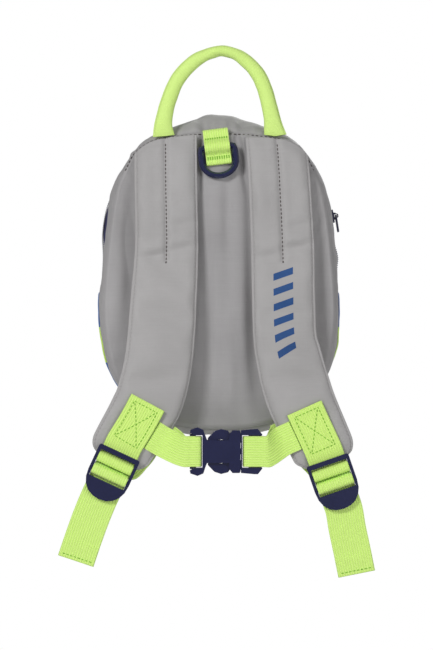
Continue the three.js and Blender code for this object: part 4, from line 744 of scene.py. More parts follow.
# across at the top seam, how it leans, how far below the seam, width, reach and depth of each crease, in mm
PANEL_CREASES = [(14, 0.17, 14, 2.6, 24, 5.0), (-16.5, 0, 18, 2.6, 24, 3.6), (-19, -0.02, 110, 6, 85, 2.4),
                 (21, 0.04, 110, 6, 85, 2.6), (7, 0.02, 70, 5, 40, 1.1), (-8, 0, 150, 4, 45, 1.3),
                 (10, 0.03, 185, 5, 30, 1.2), (-75, 0.02, 95, 9, 55, 6.5),
                 (84, -0.02, 120, 7, 60, 2.0), (-13.5, -0.06, 6, 2.0, 9, 2.2)]


def back_panel():
    seam = seam_at(eased_rounds(PANEL_COLUMNS))
    shares = 1 - (1 - np.linspace(0.01, 1, PANEL_RINGS)) ** 1.25
    x = seam[None, :, 0] * shares[:, None]
    z = PANEL_MIDDLE + (seam[None, :, 1] - PANEL_MIDDLE) * shares[:, None]
    inside = (1 - shares[:, None]) * PANEL_REACH
    rolled = np.clip(1 - inside / ROLLED, 0, 1)
    face = panel_face(x, z) * (1 - rolled ** 2) - ROLLED_FACE * rolled ** 2
    pucker = ruffle(np.stack([seam[:, 0], seam[:, 0] * 0, seam[:, 1]], axis=1), SEAM_PUCKER, 3)
    top = ease(z, PANEL_MIDDLE, SEAM_TOP)
    face = face + pucker[None] * PUCKER_DEEP * bell(inside - PUCKER_IN, PUCKER_FADE) * (0.35 + 0.65 * top)
    below = SEAM_TOP - z
    for start, lean, middle, width, reach, depth in PANEL_CREASES:
        beside = bell(x - start - lean * below, width)
        face = face + depth * beside * bell(below - middle, reach) * (1 - rolled)
    soft = waves(np.stack([x, x * 0, z], axis=2), PANEL_WAVES)
    face = face + soft * (1 - rolled) * ease(inside, 0, 10)
    outer = np.stack([x, np.minimum(face, -LEAST_FACE), z], axis=2)
    rim = np.stack([seam[:, 0], np.full(PANEL_COLUMNS, -RIM_FACE), seam[:, 1]], axis=1)
    points = np.concatenate([outer.reshape(-1, 3), rim, [(0, outer[0, :, 1].mean(), PANEL_MIDDLE)]])
    faces = grid_faces(PANEL_RINGS + 1, PANEL_COLUMNS, wrap_columns=True)
    centre = len(points) - 1
    faces += [(centre, (c + 1) % PANEL_COLUMNS, c) for c in range(PANEL_COLUMNS)]
    faces.append(end_faces(PANEL_RINGS + 1, PANEL_COLUMNS)[1][::-1])
    return mesh_piece("back_panel_cloth", points, facing_out(points, faces), body_cloth, "bag",
                      ["back_panel"])


def top_seam_line():
    """The open stitches at the top of the seam, a little inside it."""
    seam = seam_at(np.linspace(-TOP_SEWN, TOP_SEWN, 260) % 1)
    line = np.stack([seam[:, 0] * SEAM_ROW_IN, np.full(len(seam), -SEAM_ROW_OUT),
                     PANEL_MIDDLE + (seam[:, 1] - PANEL_MIDDLE) * SEAM_ROW_IN], axis=1)
    return line, np.broadcast_to((0.0, -1.0, 0.0), line.shape)


panel = back_panel()
stitch_rows("seam_stitches", [top_seam_line()], dark_thread_and_shade, radius=0.45, stitch=2.6, gap=1.0)
print("back panel", len(panel.data.polygons), "faces")

# %% [markdown]
# The gusset and the front shell are rings of cloth with two skins 2 mm apart, so their open edges show a
# folded thickness beside the zip. At the back seam the cloth dips before it swells, which draws the seam
# as a groove.

# %% Gusset and shell
BAG_COLUMNS = 420
DENSE = 260  # rows of the sheet that the cloth's own rows are read from
SEAM_DIP, ZIP_DIP = 1.2, 0.5  # how far the cloth dips at the back seam and beside the zip, in mm
SLOT_CLOSES = (-0.03, 0.01)  # shares of the girth beyond and inside the zip's ends
INNER_STEP = {"gusset": 5, "front": 8}  # the inner skins aren't seen and have fewer rows


def wrinkled(sheet, deeps, seed):
    """Adds gathers at the seam and soft creases to the bag's cloth."""
    outward = grid_normals(sheet)
    if np.sum(outward[:, :, 0] * sheet[:, :, 0]) < 0:
        outward = -outward
    depth = deeps[:, None] * BAG_DEPTH
    ring = sheet[0] * (1, 0, 1)
    pucker = ruffle(ring, SEAM_PUCKER * 0.8, seed)
    top = ease(sheet[:, :, 2], PANEL_MIDDLE + 40, SEAM_TOP)
    lift = pucker[None] * bell(depth - 5, 8) * (0.7 + 1.3 * top)
    lift = lift + ruffle(sheet * (1, 0.45, 1), 24, seed + 1) * 1.5 * ease(depth, 2, 16)
    lift = lift + ruffle(sheet * (1, 0.3, 1), 9, seed + 2) * 0.4 * ease(depth, 2, 10)
    dip = bell(depth, 1.3) * SEAM_DIP
    return sheet + outward * (lift * ease(depth, 0, 2) - dip)[:, :, None], outward


def slot_half(rounds):
    centred = (rounds + 0.5) % 1 - 0.5
    inside = np.minimum(centred - ZIP_FROM, ZIP_TO - centred)
    return (GAP + (ZIP_WIDTH - GAP) * ease(inside, *SLOT_CLOSES)) / 2 / BAG_DEPTH


def cloth_ring(deep_from, deep_to, rows, slot_side, seed):
    """A ring of the bag's cloth whose edge at the zip follows the slot."""
    rounds = eased_rounds(BAG_COLUMNS)
    half = slot_half(rounds)
    deeps = np.repeat(np.linspace(deep_from, deep_to, rows)[:, None], BAG_COLUMNS, axis=1)
    fade = np.linspace(0, 1, rows)[:, None] if slot_side < 0 else np.linspace(1, 0, rows)[:, None]
    deeps = deeps + slot_side * half[None] * fade ** 2
    table = bag_sheet(rounds, np.linspace(0, 1, DENSE))
    last = DENSE - 1
    low = np.clip((deeps * last).astype(int), 0, last - 1)
    part = (deeps * last - low)[:, :, None]
    columns = np.arange(BAG_COLUMNS)[None]
    sheet = table[low, columns] * (1 - part) + table[low + 1, columns] * part
    outer, outward = wrinkled(sheet, deeps.mean(axis=1), seed)
    zip_edge = np.abs(deeps - ZIP_MIDDLE) * BAG_DEPTH
    outer = outer - outward * (bell(zip_edge - ZIP_WIDTH / 2, 2.2) * ZIP_DIP)[:, :, None]
    return outer, sheet - outward * CLOTH


def gusset():
    outer, inner = cloth_ring(GAP / BAG_DEPTH, ZIP_MIDDLE, rows=46, slot_side=-1, seed=11)
    inner = inner[::INNER_STEP["gusset"]]
    points = np.concatenate([outer, inner[::-1]]).reshape(-1, 3)
    faces = grid_faces(len(outer) + len(inner), BAG_COLUMNS, wrap_rows=True, wrap_columns=True)
    return mesh_piece("gusset_cloth", points, facing_out(points, faces), body_cloth, "bag",
                      ["rear_gusset"])


def front_shell():
    outer, inner = cloth_ring(ZIP_MIDDLE, 1, rows=80, slot_side=1, seed=21)
    inner = inner[::INNER_STEP["front"]]
    points = np.concatenate([outer[::-1].reshape(-1, 3), inner.reshape(-1, 3),
                             [(0, BAG_DEPTH, BAG_MIDDLE), (0, BAG_DEPTH - CLOTH, BAG_MIDDLE)]])
    rows = len(outer) + len(inner)
    faces = grid_faces(rows, BAG_COLUMNS, wrap_columns=True)
    tip, last = rows * BAG_COLUMNS, (rows - 1) * BAG_COLUMNS
    for c in range(BAG_COLUMNS):
        beside = (c + 1) % BAG_COLUMNS
        faces += [(tip, beside, c), (tip + 1, last + c, last + beside)]
    return mesh_piece("front_cloth", points, facing_out(points, faces), body_cloth, "bag",
                      ["front_gusset", "front_panel"])


gusset_cloth, front_cloth = gusset(), front_shell()
print("bag cloth", len(gusset_cloth.data.polygons), "+", len(front_cloth.data.polygons), "faces")

# %% [markdown]
# The checked band is a strip sewn over the finished front, so it lies on every wrinkle under it. Lines are
# followed level by level round the cloth, which also gives the length that the squares are counted in.

# %% Checked band
BAND_LEVELS, BAND_TURNS = 60, 220
BAND_START = 0.45 * BAG_DEPTH
BAND_LIFT, BAND_BACK, BAND_EDGE = 0.3, 0.15, 1.5  # mm: its face and back above the cloth, its rounded edge


def piece_points(mesh):
    corners = np.empty(len(mesh.vertices) * 3)
    mesh.vertices.foreach_get("co", corners)
    return corners.reshape(-1, 3) / MM


def check_band():
    mesh = front_cloth.data
    cloth = BVHTree.FromPolygons(piece_points(mesh).tolist(), [tuple(f.vertices) for f in mesh.polygons])
    low = BAG_BOTTOM + BAND_RISE
    levels = np.linspace(low, low + BAND_HEIGHT, BAND_LEVELS)
    turns = np.linspace(-math.pi / 2, math.pi / 2, BAND_TURNS)
    far = 2 * BAG_WIDTH

    def touched(turn, level):
        side, front = math.sin(turn), math.cos(turn)
        return cloth.ray_cast((far * side, BAND_START + far * front, level), (-side, -front, 0))[0]

    face = np.array([[touched(turn, level) for turn in turns] for level in levels])
    outward = grid_normals(face, wrap=False)
    outward *= np.sign(np.sum(outward * (face - (0, BAND_START, 0)) * (1, 1, 0), axis=2, keepdims=True))
    along = np.array([lengths_along(line) for line in face])
    along -= along[:, BAND_TURNS // 2][:, None]
    edge = np.minimum(levels - low, low + BAND_HEIGHT - levels)[:, None, None]
    lift = BAND_LIFT + BAND_THICK * np.sqrt(np.clip(edge / BAND_EDGE, 0, 1))
    run = np.stack([along, np.broadcast_to(levels[:, None] - low, along.shape)], axis=2)
    points, faces, uv = two_faced(face + outward * lift, face + outward * BAND_BACK, run)
    mesh_piece("check_band_cloth", points, faces, check_cloth, "bag", ["check_band"], uv)
    print("band runs", round(float(along.min())), "to", round(float(along.max())), "mm along the cloth")
    return [(face[row] + outward[row] * (BAND_LIFT + BAND_THICK), outward[row])
            for row in (2, BAND_LEVELS - 3)]


stitch_rows("band_stitches", check_band(), dark_thread_and_shade, radius=0.25)

# %% [markdown]
# A coil zip is two woven tapes with a plastic spiral along each inner edge. The tapes go under the cloth.
# Where the cloth beside it is pushed in, the zip stands out, so a little navy shows at the bag's edge.

# %% Zip
ZIP_TURNS, COIL_PITCH, COIL_WIRE, COIL_HALF_RISE = 900, 1.7, 0.36, 0.5
COIL_STEPS, WIRE_SIDES = 10, 5  # points in a turn of the coil, and round its wire
COIL_SHORT = 0.002  # share of the girth that the coil ends inside the tapes' ends
COIL_LOW, TAPE_RISE = 0.95, 0.9  # mm: the coil's middle below the cloth, the tape's rise beside it
# mm from the middle where the tapes bend: at their edges, under the cloth's edge and beside the coil
TAPE_BENDS = (3.6, 2.8, 1.9, 0.4)
# round, spread and rise of the places where the zip stands out
ZIP_SHOWS = [(-0.188, 0.024, 5.2), (0.225, 0.012, 2.2)]


def zip_line(rounds):
    """Middle, across and outward directions of the zip."""
    step = 0.01
    sheet = bag_sheet(rounds, [ZIP_MIDDLE - step, ZIP_MIDDLE, ZIP_MIDDLE + step])
    across = unit(sheet[2] - sheet[0])
    along = unit(np.gradient(sheet[1], axis=0))
    out = unit(np.cross(along, across))
    out *= np.sign(np.sum(out * (sheet[1] - (0, 0, BAG_MIDDLE)) * (1, 0, 1), axis=1, keepdims=True))
    return sheet[1], across, out


def zip_shows(rounds):
    return sum(rise * bell(rounds - at, spread) for at, spread, rise in ZIP_SHOWS)


def zip_tapes():
    rounds = np.linspace(ZIP_FROM, ZIP_TO, ZIP_TURNS)
    middle, across, out = zip_line(rounds)
    bends = np.array((ZIP_TAPE / 2, *TAPE_BENDS))
    sides = np.concatenate([-bends, bends[::-1]])
    between_edges = np.abs(sides) < ZIP_WIDTH / 2 - GAP / 2
    top = -(CLOTH + 2 * GAP) + between_edges[None] * (TAPE_RISE + zip_shows(rounds)[:, None])
    upper, lower = (middle[:, None] + across[:, None] * sides[None, :, None] + out[:, None] * rise[:, :, None]
                    for rise in (top, top - ZIP_TAPE_THICK))
    points, faces, _ = two_faced(upper, lower)
    return mesh_piece("zip_tapes", points, faces, tape_cloth, "bag", ["zip_chain"])


def zip_coil():
    length = lengths_along(zip_line(np.linspace(ZIP_FROM, ZIP_TO, ZIP_TURNS))[0])[-1]
    steps = int(length / COIL_PITCH) * COIL_STEPS
    rounds = np.linspace(ZIP_FROM + COIL_SHORT, ZIP_TO - COIL_SHORT, steps)
    middle, across, out = zip_line(rounds)
    turn = np.arange(steps) * 2 * math.pi / COIL_STEPS
    path = (middle + across * (ZIP_COIL / 2 - COIL_WIRE) * np.cos(turn)[:, None]
            + out * (COIL_HALF_RISE * np.sin(turn) - COIL_LOW + zip_shows(rounds))[:, None])
    along = unit(np.gradient(path, axis=0))
    first = unit(np.cross(along, out))
    second = np.cross(along, first)
    angles = np.arange(WIRE_SIDES) * 2 * math.pi / WIRE_SIDES
    points = (path[:, None] + COIL_WIRE * (first[:, None] * np.cos(angles)[None, :, None]
                                           + second[:, None] * np.sin(angles)[None, :, None])).reshape(-1, 3)
    faces = grid_faces(steps, WIRE_SIDES, wrap_columns=True)
    return mesh_piece("zip_coil", points, facing_out(points, faces), zip_paint, "bag",
                      ["zip_chain"])


zip_cloth, coil = zip_tapes(), zip_coil()
print("zip", len(zip_cloth.data.polygons), "+", len(coil.data.polygons), "faces")

# %% [markdown]
# ## Shoulder straps
# A padded strap is two faces of cloth over foam, bound at the edges. The binding is a flat lip about 3 mm
# wide with a row of stitches inside it. Over the upper part a second row of stitches runs down the middle
# and draws the foam in, and the cloth puckers beside it.

# %% Strap frames
RULER = np.linspace(0, 1, 81)
TURN_STEP = 0.02  # share of the route on either side that gives the strap's direction


def strap_points(side, at):
    rows = STRAP_ROUTE[side]
    down, aside, bow, wide, thick = (between(rows[:, column], at) for column in range(5))
    x = -SIDES[side]["inner"] * (STRAP_PLACE + (PANEL_WIDTH / 2 - STRAP_PLACE) * aside)
    z = SEAM_TOP - STRAP_INSET - down * STRAP_DROP
    half, thick = wide * STRAP_WIDTH / 2, thick * STRAP_THICK
    seat = np.min([panel_face(x + share * half, z) for share in (-0.95, -0.5, 0, 0.5, 0.95)], axis=0)
    y = seat - GAP * 2 - thick / 2 - np.maximum(0, bow) * STRAP_BOW
    return np.stack([x, y, z], axis=-1), half, thick


def strap_ruler(side):
    points = strap_points(side, RULER * (len(STRAP_ROUTE[side]) - 1))[0]
    return lengths_along(points[::-1])[::-1]


RULERS = {side: strap_ruler(side) for side in SIDES}


def strap_above(side, above):
    """The strap's frame at distances above its lower end."""
    above = np.atleast_1d(np.asarray(above, float))
    last = len(STRAP_ROUTE[side]) - 1
    at = np.interp(above, RULERS[side][::-1], RULER[::-1]) * last
    middle, half, thick = strap_points(side, at)
    ahead = strap_points(side, np.minimum(at + TURN_STEP * last, last))[0]
    behind = strap_points(side, np.maximum(at - TURN_STEP * last, 0))[0]
    down = unit(ahead - behind)
    across = unit(np.cross(down, (0, 1, 0)))
    across = across * np.sign(across[:, :1])
    out = unit(np.cross(across, down))
    out = out * -np.sign(out[:, 1:2])
    return dict(at=middle, down=down, across=across, out=out, half=half, thick=thick)


def strap_at(side, above):
    """The strap's frame at one distance above its lower end."""
    return {key: value[0] for key, value in strap_above(side, above).items()}


def placed(base, across, down, out):
    across, down, out = (np.asarray(value, float)[..., None] for value in (across, down, out))
    return base["at"] + base["across"] * across + base["down"] * down + base["out"] * out


def seam_height(x):
    """The back seam's height at a distance from the middle, on the upper half of the bag."""
    line = seam_at(np.linspace(0, 0.25, 200))
    keep = line[:, 1] >= PANEL_MIDDLE
    return np.interp(np.abs(x), line[keep, 0], line[keep, 1])


print("straps", {side: round(float(RULERS[side][0])) for side in SIDES}, "mm long")

# %% [markdown]
# The front and the back of a strap are grids of points. The pad is full in the middle and falls to the flat
# lip. The middle row of stitches sinks a groove with puckers on both sides, and where the strap bends the
# cloth folds into a few crosswise creases near the end of that row.

# %% Strap cloth
STRAP_ROWS, STRAP_COLUMNS, END_ROWS = 230, 61, 26
LIP, LIP_HALF, LIP_CORNER = 1.8, 1.1, 0.9  # the binding's width, half its thickness and its rounded edge
LIP_GROOVE, PAD_ROUND = 0.12, 8
STITCHED = 108  # how far down the middle row of stitches runs
MIDDLE_GROOVE, GROOVE_WIDTH = 2.0, 1.6
BESIDE_SWELL, BESIDE_AT, BESIDE_WIDTH = 0.5, 5, 3.5  # mm: the swell on both sides of the groove
PUCKER_SWELL, PUCKER_AT, PUCKER_WIDTH = 0.45, 3.5, 4
LIP_SWELL, LEAST_RISE = 0.14, 0.5
STRAP_WAVES = [((1, 1, 0.6), 30, 34, 1.3), ((0.6, 1, 1), 12, 35, 0.12)]
WAVES_AT = {"left": 5, "right": 9}  # where each strap's waves are read, so that the two differ
SPREAD = math.pi / 2 * 0.98  # draws the columns together towards the edges
CREASE_DEEPER = 1.6
# how far below the top, slope, depth, width, place across and spread of each crease
CREASES = {
    "left": [(100, 0.16, 1.5, 4, -0.35, 0.45), (96, 0.12, 1.0, 3.5, 0.5, 0.4), (76, 0.1, 0.7, 4, 0.55, 0.4),
             (150, -0.1, 0.5, 9, 0.1, 0.8), (205, 0.25, 0.8, 8, -0.2, 0.7)],
    "right": [(96, 0.14, 1.5, 4, 0.45, 0.45), (100, 0.08, 0.9, 4, -0.5, 0.4), (78, 0.12, 0.7, 4, 0.55, 0.4),
              (150, 0.1, 0.5, 9, 0.1, 0.8), (205, -0.25, 0.9, 8, 0.2, 0.7)],
}


def strap_profile(inside, thick):
    """Half thickness of a strap at a distance inside its edge."""
    def rounded(share):
        return np.sqrt(1 - (1 - np.clip(share, 0, 1)) ** 2)

    edge = rounded(inside / LIP_CORNER) * LIP_HALF
    core = LIP_HALF + (thick / 2 - LIP_HALF) * rounded((inside - LIP) / PAD_ROUND)
    return np.where(inside < LIP, edge, core) - LIP_GROOVE * bell(inside - LIP, 0.6)


def strap_grids(side):
    length = float(RULERS[side][0])
    straight = np.linspace(length, STRAP_ROUND, STRAP_ROWS)
    curve = STRAP_ROUND * (1 - np.sin(np.linspace(0, 1, END_ROWS)[1:] * math.pi / 2))
    above = np.concatenate([straight, curve])
    base = strap_above(side, above)
    inward = np.clip(1 - above / STRAP_ROUND, 0, 1)
    corner = 1 - np.sqrt(np.clip(1 - inward ** 2, 0, 1))
    half = base["half"] - corner * STRAP_ROUND
    share = np.sin(np.linspace(-1, 1, STRAP_COLUMNS) * SPREAD) / math.sin(SPREAD)
    across = half[:, None] * share[None]
    inside = np.minimum(half[:, None] - np.abs(across), above[:, None] + 0.02)
    thick = base["thick"][:, None] + 0 * across
    rise = strap_profile(np.maximum(inside, 0), thick)
    down = (length - above)[:, None] + 0 * across
    line = ease(down, STITCHED, STITCHED - 4) * ease(down, -6, 2)
    flat = np.stack([across, down * 0 + WAVES_AT[side], down], axis=2)
    aside = np.abs(across)
    puckers = ruffle(flat * (0.35, 1, 1), 6, 31) * PUCKER_SWELL * bell(aside - PUCKER_AT, PUCKER_WIDTH)
    beside_groove = BESIDE_SWELL * bell(aside - BESIDE_AT, BESIDE_WIDTH)
    rise_front = rise - line * (MIDDLE_GROOVE * bell(across, GROOVE_WIDTH) - beside_groove + puckers)
    lip_pucker = ruffle(flat * (0.3, 1, 1), 6, 33) * LIP_SWELL * bell(inside - LIP - 2.5, 3)
    soft = waves(flat, STRAP_WAVES)
    for below, slope, depth, width, where, spread in CREASES[side]:
        offset = down + across * slope - below
        wave = bell(offset, width) - 0.6 * bell(offset + width * 1.8, width * 1.3)
        rise_front = rise_front - CREASE_DEEPER * depth * wave * bell(across / half[:, None] - where, spread)
    padded = ease(inside, LIP, LIP + 6)
    rise_front = np.maximum(rise_front + (soft * padded + lip_pucker) * ease(down, 0, 8), LEAST_RISE)
    front, back = (base["at"][:, None] + base["across"][:, None] * across[:, :, None]
                   + base["out"][:, None] * lift[:, :, None] for lift in (rise_front, -rise))
    fall = np.clip(1 - down / SEAM_FOLLOW, 0, 1) ** 1.5
    for grid in (front, back):
        grid[:, :, 2] += (seam_height(grid[:, :, 0]) - SEAM_TOP) * fall
    return dict(front=front, back=back, across=across, down=down, inside=inside, above=above, out=base["out"])


GRIDS = {side: strap_grids(side) for side in SIDES}
print("strap grids", {side: GRIDS[side]["front"].shape[:2] for side in SIDES}, "rows and columns")

# %% [markdown]
# A strap's foam swells between its seams. The cloth over it is simulated: pinned at the binding, at the
# middle row of stitches and at the back, and blown up from inside, so that it puckers as sewn padding does.
# The simulation runs on every third row and column. Its movement is eased, capped and spread over the rest.

# %% Swelling of the padding
SWELL_CAP, SWELL_FRAMES = 2.2, 20
SMOOTHED = 2  # passes that ease the grid's own unevenness
SIM_STEP = 3
# mm of held cloth: past the lip, below the top and beside the middle row
PINNED_LIP, PINNED_TOP, PINNED_MIDDLE = 0.8, 6, 1.2


def swollen(side, grids):
    """How far each point of a strap's front moves when the padding swells."""
    rows, columns = grids["front"].shape[:2]
    some_rows = np.unique(np.r_[np.arange(0, rows, SIM_STEP), rows - 1])
    some_columns = np.arange(0, columns, SIM_STEP)
    pick = np.ix_(some_rows, some_columns)
    front, back = grids["front"][pick], grids["back"][pick]
    ring = np.concatenate([front, back[:, ::-1]], axis=1)
    count, width = ring.shape[:2]
    half = len(some_columns)
    faces = grid_faces(count, width, wrap_columns=True) + end_faces(count, width)
    mesh = bpy.data.meshes.new("swell")
    mesh.from_pydata((ring.reshape(-1, 3) * MM).tolist(), [], facing_out(ring.reshape(-1, 3), faces))
    pad = bpy.data.objects.new("swell", mesh)
    scene.collection.objects.link(pad)
    held = (grids["inside"][pick] < LIP + PINNED_LIP) | (grids["down"][pick] < PINNED_TOP)
    held |= (np.abs(grids["across"][pick]) < PINNED_MIDDLE) & (grids["down"][pick] < STITCHED)
    pins = np.concatenate([held, np.ones_like(held)], axis=1).ravel()
    group = pad.vertex_groups.new(name="sewn")
    group.add(np.flatnonzero(pins).tolist(), 1.0, "REPLACE")
    cloth = pad.modifiers.new("swell", "CLOTH")
    settings = cloth.settings
    settings.vertex_group_mass = "sewn"
    settings.quality = 4
    settings.mass = 0.15
    settings.tension_stiffness = settings.compression_stiffness = 12
    settings.shear_stiffness, settings.bending_stiffness = 4, 1.5
    settings.shrink_min = -0.015
    settings.use_pressure = True
    settings.uniform_pressure_force = 4
    settings.effector_weights.gravity = 0
    cloth.collision_settings.use_collision = False
    cloth.point_cache.frame_end = SWELL_FRAMES
    for number in range(1, SWELL_FRAMES + 1):
        scene.frame_set(number)
    moved = piece_points(pad.evaluated_get(bpy.context.evaluated_depsgraph_get()).to_mesh())
    shift = (moved.reshape(count, width, 3) - ring)[:, :half]
    scene.frame_set(1)
    bpy.data.objects.remove(pad)
    for _ in range(SMOOTHED):
        shift[1:-1] = (shift[:-2] + 2 * shift[1:-1] + shift[2:]) / 4
        shift[:, 1:-1] = (shift[:, :-2] + 2 * shift[:, 1:-1] + shift[:, 2:]) / 4
    far = np.linalg.norm(shift, axis=2, keepdims=True)
    shift = shift * np.minimum(1, SWELL_CAP / np.maximum(far, 1e-6))
    fine = looked_up(np.arange(rows), some_rows, shift.reshape(count, -1)).reshape(rows, half, 3)
    by_column = fine.transpose(1, 0, 2).reshape(half, -1)
    full = looked_up(np.arange(columns), some_columns, by_column).reshape(columns, rows, 3).transpose(1, 0, 2)
    print("swelled", side, "by up to", round(float(far.max()), 2), "mm, kept under", SWELL_CAP)
    return full


for side, grids in GRIDS.items():
    grids["front"] = grids["front"] + swollen(side, grids)
print("padding", "swelled")

# %% [markdown]
# The two faces are joined to a closed strap whose outermost strip is the binding. Dark stitches run down the
# middle of the upper part, their darkness partly the thread's own and partly painted shade of the needle
# holes and the groove, and a row in the cloth's own grey follows the edge round the strap's end.

# %% Straps and their stitches
EDGE_ROW = 0.8  # mm between the binding and the row of stitches inside it


def strap_line(grids, rows, across):
    """Points of a strap's front at rows of its grid, each at its own distance across."""
    points = [looked_up([a], grids["across"][r], grids["front"][r])[0] for r, a in zip(rows, across)]
    return np.array(points), grids["out"][rows]


def edge_path(grids, inset):
    """The line a little inside the strap's edge: down one side, round the end and up the other."""
    rows = np.flatnonzero(grids["above"] > inset)
    half = grids["across"][rows, -1] - inset
    end = np.linspace(-half[-1], half[-1], 12)
    parts = [strap_line(grids, rows, -half), strap_line(grids, np.full(len(end), rows[-1]), end),
             strap_line(grids, rows[::-1], half[::-1])]
    return np.concatenate([line for line, _ in parts]), np.concatenate([out for _, out in parts])


def shoulder_strap(side, grids, finish):
    run = np.stack([grids["across"], grids["down"]], axis=2)
    points, faces, uv = two_faced(grids["front"], grids["back"], run)
    strap = mesh_piece(f"shoulder_strap_{side}_cloth", points, faces, finish, "bag",
                       [f"shoulder_strap_{side}"], uv)
    strap.data.materials.append(edge_cloth)
    bound = grids["inside"] < LIP - 0.6
    bound = np.concatenate([bound, bound[:, ::-1]], axis=1)[:-1].ravel().astype(np.int32)
    slots = np.zeros(len(faces), np.int32)
    slots[:len(bound)] = bound
    strap.data.polygons.foreach_set("material_index", slots)
    print("strap", side, len(strap.data.polygons), "faces")


dark_lines, edge_lines = [], []
for (side, grids), finish in zip(GRIDS.items(), (strap_cloth, printed_cloth)):
    shoulder_strap(side, grids, finish)
    sewn = np.flatnonzero((grids["down"][:, 0] > 4) & (grids["down"][:, 0] < STITCHED))
    dark_lines.append(strap_line(grids, sewn, np.zeros(len(sewn))))
    edge_lines.append(edge_path(grids, LIP + EDGE_ROW))
stitch_rows("strap_middle_stitches", dark_lines, dark_thread_and_shade, radius=0.6, stitch=2.7, gap=0.6)
stitch_rows("strap_edge_stitches", edge_lines, soft_thread, radius=0.2)

# %% [markdown]
# ## Webbing
# A band of webbing keeps its width and follows a line through stations: on the strap, behind the lock's
# top bar, round a bar and back. Each station says where the band's middle is and which way its width lies.

# %% Bands
RIB_HEIGHT = 0.11
WEB_FULL = 0.5  # the soft webbing is pressed a little wider than its nominal width in the locks
BAND_STEP, NUDGE = 1.1, 1e-4
SELVEDGE, THIN_EDGE, COLUMN_PITCH = 0.8, 0.06, 0.42  # the rounded edge's width and least height, mesh columns


def station(at, side, thick=WEB_THICK, skew=0.0):
    return np.asarray(at, float).reshape(3), unit(np.asarray(side, float).reshape(3)), thick, skew


def band_run(stations, step=BAND_STEP, front=0):
    """Middle, width direction, outward direction and thickness along a band. Its face is turned so that it
    looks at the viewer at the front row."""
    points = np.array([s[0] for s in stations])
    last = len(points) - 1
    marks = []
    for low in range(last):
        count = max(1, round(float(np.linalg.norm(points[low + 1] - points[low])) / step))
        marks += [low + part / count for part in range(count)]
    at = np.array(marks + [last])
    middle = curve_through(points, at / last)
    nudged = np.clip(at / last, NUDGE, 1 - NUDGE)
    along = unit(curve_through(points, nudged + NUDGE) - curve_through(points, nudged - NUDGE))
    low = np.minimum(np.floor(at).astype(int), last - 1)
    share = (at - low)[:, None]
    sides, thick, skew = (np.array([s[k] for s in stations]) for k in (1, 2, 3))
    told = unit(sides[low] * (1 - share) + sides[low + 1] * share)
    square = unit(told - along * np.sum(told * along, axis=1, keepdims=True))
    out = unit(np.cross(along, square))
    lean = (skew[low] * (1 - share[:, 0]) + skew[low + 1] * share[:, 0])[:, None]
    side = square * (1 - lean) + told / np.sum(told * square, axis=1, keepdims=True) * lean
    thick = thick[low] * (1 - share[:, 0]) + thick[low + 1] * share[:, 0]
    if out[front, 1] > 0:
        out = -out
    return dict(middle=middle, side=side, out=out, thick=thick, length=lengths_along(middle))


def on_band(run, along, across, lift):
    """Points on a band: along and across in millimetres, lift above its outer face."""
    middle, side, out = (looked_up(along, run["length"], run[key]) for key in ("middle", "side", "out"))
    rise = np.interp(along, run["length"], run["thick"]) / 2 + lift
    return middle + side * across[:, None] + out * rise[:, None]


def woven_band(name, run, width, stands_for, finish=webbing):
    edge = np.linspace(0, 1, 4)[:3] ** 0.7 * SELVEDGE
    middle = np.linspace(-width / 2 + SELVEDGE, width / 2 - SELVEDGE, int(width / COLUMN_PITCH))
    across = np.concatenate([-width / 2 + edge, middle, (width / 2 - edge)[::-1]])
    inside = np.clip((width / 2 - np.abs(across)) / SELVEDGE, 0, 1)
    shape = np.sqrt(1 - (1 - inside) ** 2) * (1 - THIN_EDGE) + THIN_EDGE
    rib = RIB_HEIGHT * np.cos(across * 2 * math.pi / RIB_PITCH) * (inside >= 1)
    rise = run["thick"][:, None] / 2 * shape[None] - RIB_HEIGHT + rib[None]
    front, back = (run["middle"][:, None] + run["side"][:, None] * across[None, :, None]
                   + run["out"][:, None] * (face * rise)[:, :, None] for face in (1, -1))
    own = np.stack(np.broadcast_arrays(run["length"][:, None], across[None]), axis=2)
    points, faces, uv = two_faced(front, back, own)
    mesh_piece(name, points, faces, finish, "bag", [stands_for], uv)


print("a 30 mm band has", int(WEB_WIDTH / COLUMN_PITCH) + 6, "columns on each face")

# %% [markdown]
# Sewn rows are drawn on the band itself, as corners along and across it, so a box stitch bends with the
# webbing that it holds.

# %% Sewn paths
PATH_STEP, THREAD_LIFT = 0.8, 0.05


def sewn_path(run, corners):
    """A row of stitches over a band through corners given as (along, across)."""
    corners = np.asarray(corners, float)
    marks = [corners[:1]]
    for a, b in zip(corners[:-1], corners[1:]):
        count = max(2, int(np.linalg.norm(b - a) / PATH_STEP))
        marks.append(a + (b - a) * (np.arange(1, count + 1) / count)[:, None])
    path = np.concatenate(marks)
    return (on_band(run, path[:, 0], path[:, 1], THREAD_LIFT),
            looked_up(path[:, 0], run["length"], run["out"]))


print("sewn rows lie", THREAD_LIFT, "mm above the ribs")

# %% [markdown]
# The lock hangs below the strap's end, in front of two layers of webbing. From its frame follow the
# stations of everything that is threaded through it. The strap's webbing goes round the lock's first bar
# and back, and both layers are sewn to the strap with a crossed box.

